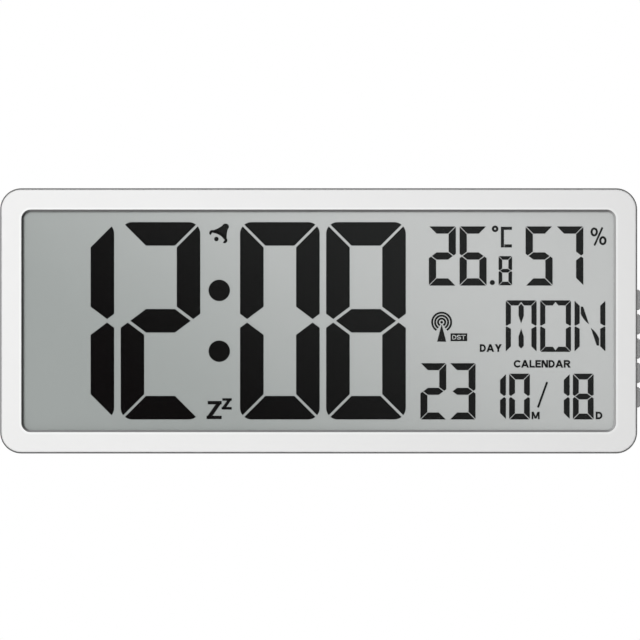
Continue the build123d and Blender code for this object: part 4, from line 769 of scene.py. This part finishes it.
clear_stations = [
    plate_station(glass_low, glass_high, PLATE_EDGE, glass_high.y),
    plate_station(glass_low, glass_high, 0, glass_high.y - PLATE_EDGE),
    plate_station(glass_low, glass_high, 0, glass_low.y + PLATE_EDGE),
    plate_station(glass_low, glass_high, PLATE_EDGE, glass_low.y),
    plate_station(window_low, window_high, 0, window_high.y),
    plate_station(window_low, window_high, PLATE_EDGE, window_low.y),
]
clear_mesh = solid_mesh("clear_front", *carried(clear_stations, ring=False))
clear_front = add_piece("clear_front", clear_mesh, "lcd_glass")
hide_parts("lcd_front_polarizer", "lcd_front_glass")
print("clear front", round(glass_high.y - window_low.y, 5), "m thick")

# %% [markdown]
# The small signs of the display are strokes in the same layer as the figures: a band of even width
# carried along a line, with mitred corners. A typeface could give the letters, but its strokes would not
# have the widths of the picture. A band is a flat solid between the glass plates, and places are
# distances inwards from the window's right and top edges.

# %% Bands for the signs
SIGN_INSET = 0.03 * MM
BAND_ROWS = 4

marks_low, marks_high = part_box("time_segments")


def on_display(flat, y):
    """Points at a depth of the display: (right, top) distances become X and Z."""
    x = window_high.x - flat[:, 0]
    z = window_high.z - flat[:, 1]
    return np.stack([x, np.full_like(x, y), z], axis=1)


def band(points, width, closed=False):
    """Two sides of a band: each point moves half the width along the mitre of its two runs."""
    points = np.asarray(points, float)
    if closed:
        into = points - np.roll(points, 1, axis=0)
        out = np.roll(points, -1, axis=0) - points
    else:
        run = np.diff(points, axis=0)
        into = np.concatenate([run[:1], run])
        out = np.concatenate([run, run[-1:]])
    into = into / np.linalg.norm(into, axis=1, keepdims=True)
    out = out / np.linalg.norm(out, axis=1, keepdims=True)
    mitre = np.stack([-(into + out)[:, 1], (into + out)[:, 0]], axis=1)
    normal = np.stack([-into[:, 1], into[:, 0]], axis=1)
    mitre = mitre * (width / 2) / np.sum(mitre * normal, axis=1, keepdims=True)
    return points + mitre, points - mitre, closed


def band_mesh(name, bands, lift):
    """Solid of one or more bands: four rows of corners round each, and end faces where it is open."""
    front = marks_low.y + SIGN_INSET - lift
    back = marks_high.y - SIGN_INSET - lift
    vertices, faces, start = [], [], 0
    for left, right, closed in bands:
        count = len(left)
        vertices += [on_display(left, front), on_display(right, front)]
        vertices += [on_display(right, back), on_display(left, back)]
        step = np.arange(count if closed else count - 1)
        after = (step + 1) % count
        for ring in range(BAND_ROWS):
            here, there = start + ring * count, start + (ring + 1) % BAND_ROWS * count
            faces.append(np.stack([here + step, here + after, there + after, there + step], axis=1))
        if not closed:
            ends = start + np.arange(BAND_ROWS) * count
            faces.append(np.stack([ends, ends[::-1] + count - 1]))
        start += BAND_ROWS * count
    return solid_mesh(name, np.concatenate(vertices), np.concatenate(faces).tolist())


def sign(name, bands, finish=None, lift=0.0):
    """Sign of the display from its bands; a lift moves it towards the viewer."""
    return add_piece(name, band_mesh(name, bands, lift), "lcd_marks", finish)


def disc(centre, radius, steps=32):
    """Filled disc as a band whose two sides are its upper and lower half."""
    angle = np.linspace(0, math.pi, steps)
    right = centre[0] - radius * np.cos(angle)
    upper = np.stack([right, centre[1] - radius * np.sin(angle)], axis=1)
    lower = np.stack([right, centre[1] + radius * np.sin(angle)], axis=1)
    return upper, lower, False


print("signs are", round(marks_high.y - marks_low.y - 2 * SIGN_INSET, 6), "m thick")

# %% [markdown]
# Letters are drawn in a unit square, first along its width and then up its height, and then stretched
# to the room that each letter has. A word shares its width out by the usual width of each letter.
# Slanted strokes are cut level with the line of writing, as a type cutter does.

# %% Letters
LETTER_GAP_SHARE = 0.07
LEVEL_SHARE = 0.01


def bow(centre, size, start, stop, steps=18):
    """Elliptical arc as points; angles turn from the first axis to the second, in degrees."""
    angle = np.radians(np.linspace(start, stop, steps))
    return np.stack([centre[0] + size[0] * np.cos(angle), centre[1] + size[1] * np.sin(angle)], axis=1)


LETTERS = {
    "A": (1.02, [[(0, 0), (0.5, 1)], [(1, 0), (0.5, 1)], [(0.25, 0.24), (0.75, 0.24)]]),
    "C": (0.88, [bow((0.6, 0.5), (0.6, 0.5), 37, 323)]),
    "D": (0.80, [[(0, 0), (0, 1)], [(0, 1), *bow((0.4, 0.5), (0.6, 0.5), 90, -90), (0, 0)]]),
    "E": (0.71, [[(1, 1), (0, 1), (0, 0), (1, 0)], [(0, 0.52), (0.9, 0.52)]]),
    "L": (0.69, [[(0, 1), (0, 0), (1, 0)]]),
    "M": (1.0, [[(0, 0), (0, 1)], [(0.02, 1), (0.5, 0.1)], [(0.5, 0.1), (0.98, 1)], [(1, 1), (1, 0)]]),
    "N": (0.85, [[(0, 0), (0, 1)], [(0, 1), (1, 0)], [(1, 0), (1, 1)]]),
    "R": (0.89, [
        [(0, 0), (0, 1)],
        [(0, 1), *bow((0.55, 0.75), (0.36, 0.25), 90, -90), (0, 0.5)],
        [(0.5, 0.5), (1, 0)],
    ]),
    "S": (0.84, [[*bow((0.5, 0.76), (0.48, 0.24), 15, 250), *bow((0.5, 0.25), (0.5, 0.25), 75, -165)]]),
    "T": (0.82, [[(0, 1), (1, 1)], [(0.5, 1), (0.5, 0)]]),
    "Y": (0.93, [[(0, 1), (0.5, 0.4)], [(1, 1), (0.5, 0.4)], [(0.5, 0.45), (0.5, 0)]]),
    "Z": (0.86, [[(0.1, 1), (1, 1)], [(1, 0.9), (0, 0.1)], [(0, 0), (1, 0)]]),
}


def word(text, right, top, width, height, stroke):
    """Bands of a word in a box. Slanted lines are cut level, and the others end square at the edges."""
    gap = LETTER_GAP_SHARE * height
    shares = np.array([LETTERS[letter][0] for letter in text])
    widths = shares / shares.sum() * (width - gap * (len(text) - 1))
    starts = right + width - np.concatenate([[0], np.cumsum(widths + gap)[:-1]])
    bands = []
    for letter, start, room in zip(text, starts, widths):
        for line in LETTERS[letter][1]:
            line = np.asarray(line, float)
            run = (line[-1] - line[0]) * (room, height)
            if len(line) == 2 and run.all():
                half = stroke / 2 * np.hypot(*run) / abs(run[1])
                across = start - half - line[:, 0] * (room - 2 * half)
                down = top + height - line[:, 1] * height
                points = np.stack([across, down], axis=1)
                bands.append((points + (half, 0), points - (half, 0), False))
                continue
            across = start - stroke / 2 - line[:, 0] * (room - stroke)
            down = top + height - stroke / 2 - line[:, 1] * (height - stroke)
            points = np.stack([across, down], axis=1)
            ends = np.stack([points[0] - points[1], points[-1] - points[-2]])
            level = np.abs(ends).min(axis=1, keepdims=True) < LEVEL_SHARE * stroke
            points[[0, -1]] += level * stroke / 2 * ends / np.linalg.norm(ends, axis=1, keepdims=True)
            bands.append(band(points, stroke))
    return bands


print("letters", "".join(LETTERS))

# %% [markdown]
# The words name what stands beside them: the day of the week, the date, its month and its day. Two
# slanted letters of different size stand for a snoozing alarm.

# %% Words of the display


def word_mm(text, *sizes):
    """Word whose right, top, width, height and stroke are given in millimetres."""
    return word(text, *(np.array(sizes) * MM))


words = {
    "sign_day": word_mm("DAY", 65.65, 77.4, 12.65, 4.4, 1.05),
    "sign_calendar": word_mm("CALENDAR", 26.1, 86.5, 32.75, 4.35, 1.04),
    "sign_month": word_mm("M", 43.95, 116.15, 4.6, 4.35, 0.98),
    "sign_date": word_mm("D", 7.9, 116.15, 3.85, 4.35, 1.1),
    "sign_snooze": word_mm("Z", 226.5, 110.0, 8.7, 10.4, 1.95) + word_mm("Z", 220.7, 108.4, 5.85, 6.5, 1.45),
}
for name, bands in words.items():
    sign(name, bands)
print("words", list(words))

# %% [markdown]
# The figures of the climate row carry their units: a small ring, a square hook for degrees, and two ovals
# with a stroke for humidity. The hook is made of two bands with a fine gap, as its two electrodes are.

# %% Units of the climate figures
DEGREE_CENTRE = np.array([69.5, 11.15]) * MM
DEGREE_RING = np.array([1.24, 1.24]) * MM
DEGREE_STROKE = 1.3 * MM
CELSIUS_LEFT, CELSIUS_RIGHT = 66.2 * MM, 59.85 * MM
CELSIUS_TOP, CELSIUS_LOW = 9.95 * MM, 21.85 * MM
CELSIUS_STROKE = 1.8 * MM
CELSIUS_GAP_SHARE = 0.12
PERCENT_OVAL = np.array([1.5, 1.97]) * MM
PERCENT_CENTRES = np.array([(12.6, 12.95), (7.65, 17.95)]) * MM
PERCENT_LINE = np.array([(7.85, 10.35), (12.5, 20.75)]) * MM
PERCENT_STROKE, PERCENT_LINE_STROKE = 1.25 * MM, 1.1 * MM
# First angle, last angle and count of points of closed curves, which stop about one step early
RING_TURN = (0, 351, 40)
OVAL_TURN = (0, 352, 44)

sign("sign_degree", [band(bow(DEGREE_CENTRE, DEGREE_RING, *RING_TURN), DEGREE_STROKE, True)])
half_stroke = CELSIUS_STROKE / 2
hook = [
    (CELSIUS_RIGHT, CELSIUS_TOP + half_stroke),
    (CELSIUS_LEFT - half_stroke, CELSIUS_TOP + half_stroke),
    (CELSIUS_LEFT - half_stroke, CELSIUS_LOW),
]
bar_start = CELSIUS_LEFT - (1 + CELSIUS_GAP_SHARE) * CELSIUS_STROKE
bar = [(bar_start, CELSIUS_LOW - half_stroke), (CELSIUS_RIGHT, CELSIUS_LOW - half_stroke)]
sign("sign_celsius", [band(hook, CELSIUS_STROKE), band(bar, CELSIUS_STROKE)])
percent = [band(bow(centre, PERCENT_OVAL, *OVAL_TURN), PERCENT_STROKE, True) for centre in PERCENT_CENTRES]
percent.append(band(PERCENT_LINE, PERCENT_LINE_STROKE))
sign("sign_percent", percent)
print("units at", np.round(DEGREE_CENTRE, 4), np.round(PERCENT_CENTRES[0], 4))

# %% [markdown]
# A stroke parts month and day. The mast with three open rings shows that the radio time signal is
# received, and a dark flag beside it shows summer time. The rings are arcs, the mast is a wedge, and
# the flag is one broad band.

# %% Date stroke, radio mast and summer-time flag
SLASH_LINE = np.array([(44.9, 113.75), (39.65, 99.15)]) * MM
SLASH_STROKE = 1.2 * MM
MAST_CENTRE = np.array([100.2, 64.75]) * MM
MAST_DOT = 0.8 * MM
WAVE_STROKE = 1.12 * MM
WAVES = ((5.45 * MM, 33), (3.75 * MM, 31), (2.05 * MM, 29))
WAVE_STEPS = 40
# The second axis of the display runs down, so a quarter turn points to the mast's foot
DOWN = 90
MAST_TOP, MAST_LOW = 66.4 * MM, 75.95 * MM
MAST_TIP, MAST_FOOT = 0.12 * MM, 2.6 * MM
FLAG_RIGHT, FLAG_TOP, FLAG_WIDTH, FLAG_HEIGHT = np.array([85.5, 71.15, 9.6, 4.5]) * MM

sign("sign_slash", [band(SLASH_LINE, SLASH_STROKE)])
mast = [
    band(bow(MAST_CENTRE, (radius, radius), DOWN + opening, DOWN + 360 - opening, WAVE_STEPS), WAVE_STROKE)
    for radius, opening in WAVES
]
mast_sides = [
    np.array([(MAST_CENTRE[0] + side * MAST_TIP, MAST_TOP), (MAST_CENTRE[0] + side * MAST_FOOT, MAST_LOW)])
    for side in (1, -1)
]
mast += [disc(MAST_CENTRE, MAST_DOT), (*mast_sides, False)]
sign("sign_radio_mast", mast)
flag_middle = FLAG_TOP + FLAG_HEIGHT / 2
flag_line = [(FLAG_RIGHT + FLAG_WIDTH, flag_middle), (FLAG_RIGHT, flag_middle)]
sign("sign_summer_time", [band(flag_line, FLAG_HEIGHT)])
print("radio mast with", len(WAVES), "rings")

# %% [markdown]
# The flag's letters are clear crystal inside a dark field. Cutting them out of the flag would need a solid
# with many holes, so they are light bands that stand a hair in front of it.

# %% Light letters on the summer-time flag
FLAG_MARGIN = 0.95 * MM
FLAG_STROKE = 0.44 * MM
LETTER_LIFT = 0.02 * MM
CLEAR_CRYSTAL = (0.5, 0.515, 0.51)

clear_crystal = moulded("clear_crystal", CLEAR_CRYSTAL, roughness=0.7)
letter_corner = np.array([FLAG_RIGHT, FLAG_TOP]) + FLAG_MARGIN
letter_room = np.array([FLAG_WIDTH, FLAG_HEIGHT]) - 2 * FLAG_MARGIN
letters = word("DST", *letter_corner, *letter_room, FLAG_STROKE)
sign("sign_summer_letters", letters, clear_crystal, LETTER_LIFT)
print("flag letters", round(letter_room[1], 5), "m high")

# %% [markdown]
# The alarm sign is a bell that swings to the right. Its body is a row of half widths along a tilted
# axis, wide at the mouth and narrowing to a round crown. A bowed lip with two small curls closes the
# mouth, which leans a little less than the axis, and a disc is the clapper.

# %% Alarm bell
BELL_MOUTH = np.array([227.9, 14.9]) * MM
BELL_LENGTH = 6.1 * MM
BELL_CROWN = 1.9 * MM
BELL_FLARE = 3.15 * MM
BELL_POWER = 1.5
BELL_TILT = math.radians(36)
LIP_TILT = math.radians(31.5)
LIP_RISE = 1.0 * MM
CURL_RADIUS = 0.9 * MM
CURL_STROKE = 1.5 * MM
CLAPPER = np.array([229.55, 17.0]) * MM
CLAPPER_RADIUS = 1.3 * MM
POINT = 0.01 * MM
BODY_STEPS, CROWN_STEPS, LIP_STEPS, CURL_STEPS = 24, 12, 15, 14

bell_axis = np.array([-math.sin(BELL_TILT), -math.cos(BELL_TILT)])
bell_left = np.array([math.cos(LIP_TILT), -math.sin(LIP_TILT)])


def on_bell(reach, offset):
    """Points at reaches along the bell's axis and offsets to its left."""
    return BELL_MOUTH + np.multiply.outer(reach, bell_axis) + np.multiply.outer(offset, bell_left)


along = np.linspace(0, 1, BODY_STEPS)
crown_turn = np.linspace(0, math.pi / 2, CROWN_STEPS)[1:]
reach = np.concatenate([BELL_LENGTH * along, BELL_LENGTH + BELL_CROWN * np.sin(crown_turn)])
body_width = BELL_CROWN + BELL_FLARE * (1 - along) ** BELL_POWER
half_width = np.concatenate([body_width, BELL_CROWN * np.cos(crown_turn) + POINT])
spine = on_bell(np.linspace(LIP_RISE, reach[-1], len(reach)), np.zeros(len(reach)))
bell = [(on_bell(reach, side * half_width), spine, False) for side in (1, -1)]
lip_turn = np.linspace(-1, 1, LIP_STEPS)
lip_half = half_width[0] - CURL_RADIUS
bell.append(band(on_bell(LIP_RISE * (1 - lip_turn ** 2), lip_half * lip_turn), CURL_STROKE))
curl_turn = np.linspace(0, math.pi, CURL_STEPS)
for side in (1, -1):
    curl_offset = side * (lip_half + CURL_RADIUS * np.sin(curl_turn))
    bell.append(band(on_bell(CURL_RADIUS * (np.cos(curl_turn) - 1), curl_offset), CURL_STROKE))
bell.append(disc(CLAPPER, CLAPPER_RADIUS))
sign("sign_alarm_bell", bell)
print("bell", round(float(reach[-1]), 5), "m long")

# %% [markdown]
# Eight screws close the case from behind, each at the bottom of a deep round hole. The screw is turned:
# rings of one profile round an axis. The cross recess of its head is pressed in, so the rings of the
# head's top sink where they lie in either arm of a cross.

# %% Case screws
SCREW_STEPS, TOP_RINGS, EDGE_RINGS = 64, 18, 7
SCREW_X = np.array([-165.0, -61.0, 61.0, 165.0]) * MM
HEAD_RADIUS, HEAD_HEIGHT, HEAD_EDGE = 2.5 * MM, 1.8 * MM, 0.45 * MM
SHANK_RADIUS, POINT_RADIUS = 1.3 * MM, 0.3 * MM
RECESS_DEPTH, RECESS_REACH, RECESS_HALF, RECESS_EDGE = 1.0 * MM, 1.45 * MM, 0.42 * MM, 0.16 * MM

screw_low, screw_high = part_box("case_screws")
screw_z = screw_high.z - HEAD_RADIUS
screw_length = screw_high.y - screw_low.y


def arm(along_arm, across_arm):
    """Share from 0 to 1 of the recess's depth in one arm: it falls off at the arm's end and sides."""
    end = np.clip((RECESS_REACH - np.abs(along_arm)) / RECESS_EDGE, 0, 1)
    side = np.clip((RECESS_HALF - np.abs(across_arm)) / RECESS_EDGE, 0, 1)
    return end * side


top_radii = np.linspace(POINT, HEAD_RADIUS - HEAD_EDGE, TOP_RINGS)
edge_turn = np.linspace(0, math.pi / 2, EDGE_RINGS)[1:]
edge_radii = HEAD_RADIUS - HEAD_EDGE + HEAD_EDGE * np.sin(edge_turn)
radii = np.concatenate([top_radii, edge_radii, [HEAD_RADIUS, SHANK_RADIUS, SHANK_RADIUS, POINT_RADIUS]])
edge_depths = HEAD_EDGE * (1 - np.cos(edge_turn))
shank_end = screw_length - SHANK_RADIUS + POINT_RADIUS
shank_depths = [HEAD_HEIGHT, HEAD_HEIGHT, shank_end, screw_length]
depths = np.concatenate([np.zeros_like(top_radii), edge_depths, shank_depths])
screw_turn = np.linspace(0, 2 * math.pi, SCREW_STEPS, endpoint=False)
screw_side = np.multiply.outer(radii, np.cos(screw_turn))
screw_rise = np.multiply.outer(radii, np.sin(screw_turn))
recess = RECESS_DEPTH * np.maximum(arm(screw_side, screw_rise), arm(screw_rise, screw_side))
recess[len(top_radii):] = 0
screw_y = screw_high.y - depths[:, None] - recess
one_screw = np.stack([screw_side, screw_y, screw_rise], axis=-1).reshape(-1, 3)
places = np.array([(x, 0, side * screw_z) for x in SCREW_X for side in (1, -1)])
screw_points = (one_screw + places[:, None]).reshape(-1, 3)
firsts = np.arange(len(places)) * len(one_screw)
walls = np.add.outer(firsts, ring_faces(len(radii), SCREW_STEPS, ring=False)).reshape(-1, 4)
ends = np.stack([np.arange(SCREW_STEPS), np.arange(len(one_screw) - SCREW_STEPS, len(one_screw))])
caps = np.add.outer(firsts, ends).reshape(-1, SCREW_STEPS)
screw_mesh = solid_mesh("case_screw_set", screw_points, walls.tolist() + caps.tolist())
screw_set = add_piece("case_screw_set", screw_mesh, "screw_steel")
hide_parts("case_screws")
print("screws", len(places), "each", round(screw_length, 4), "m long")
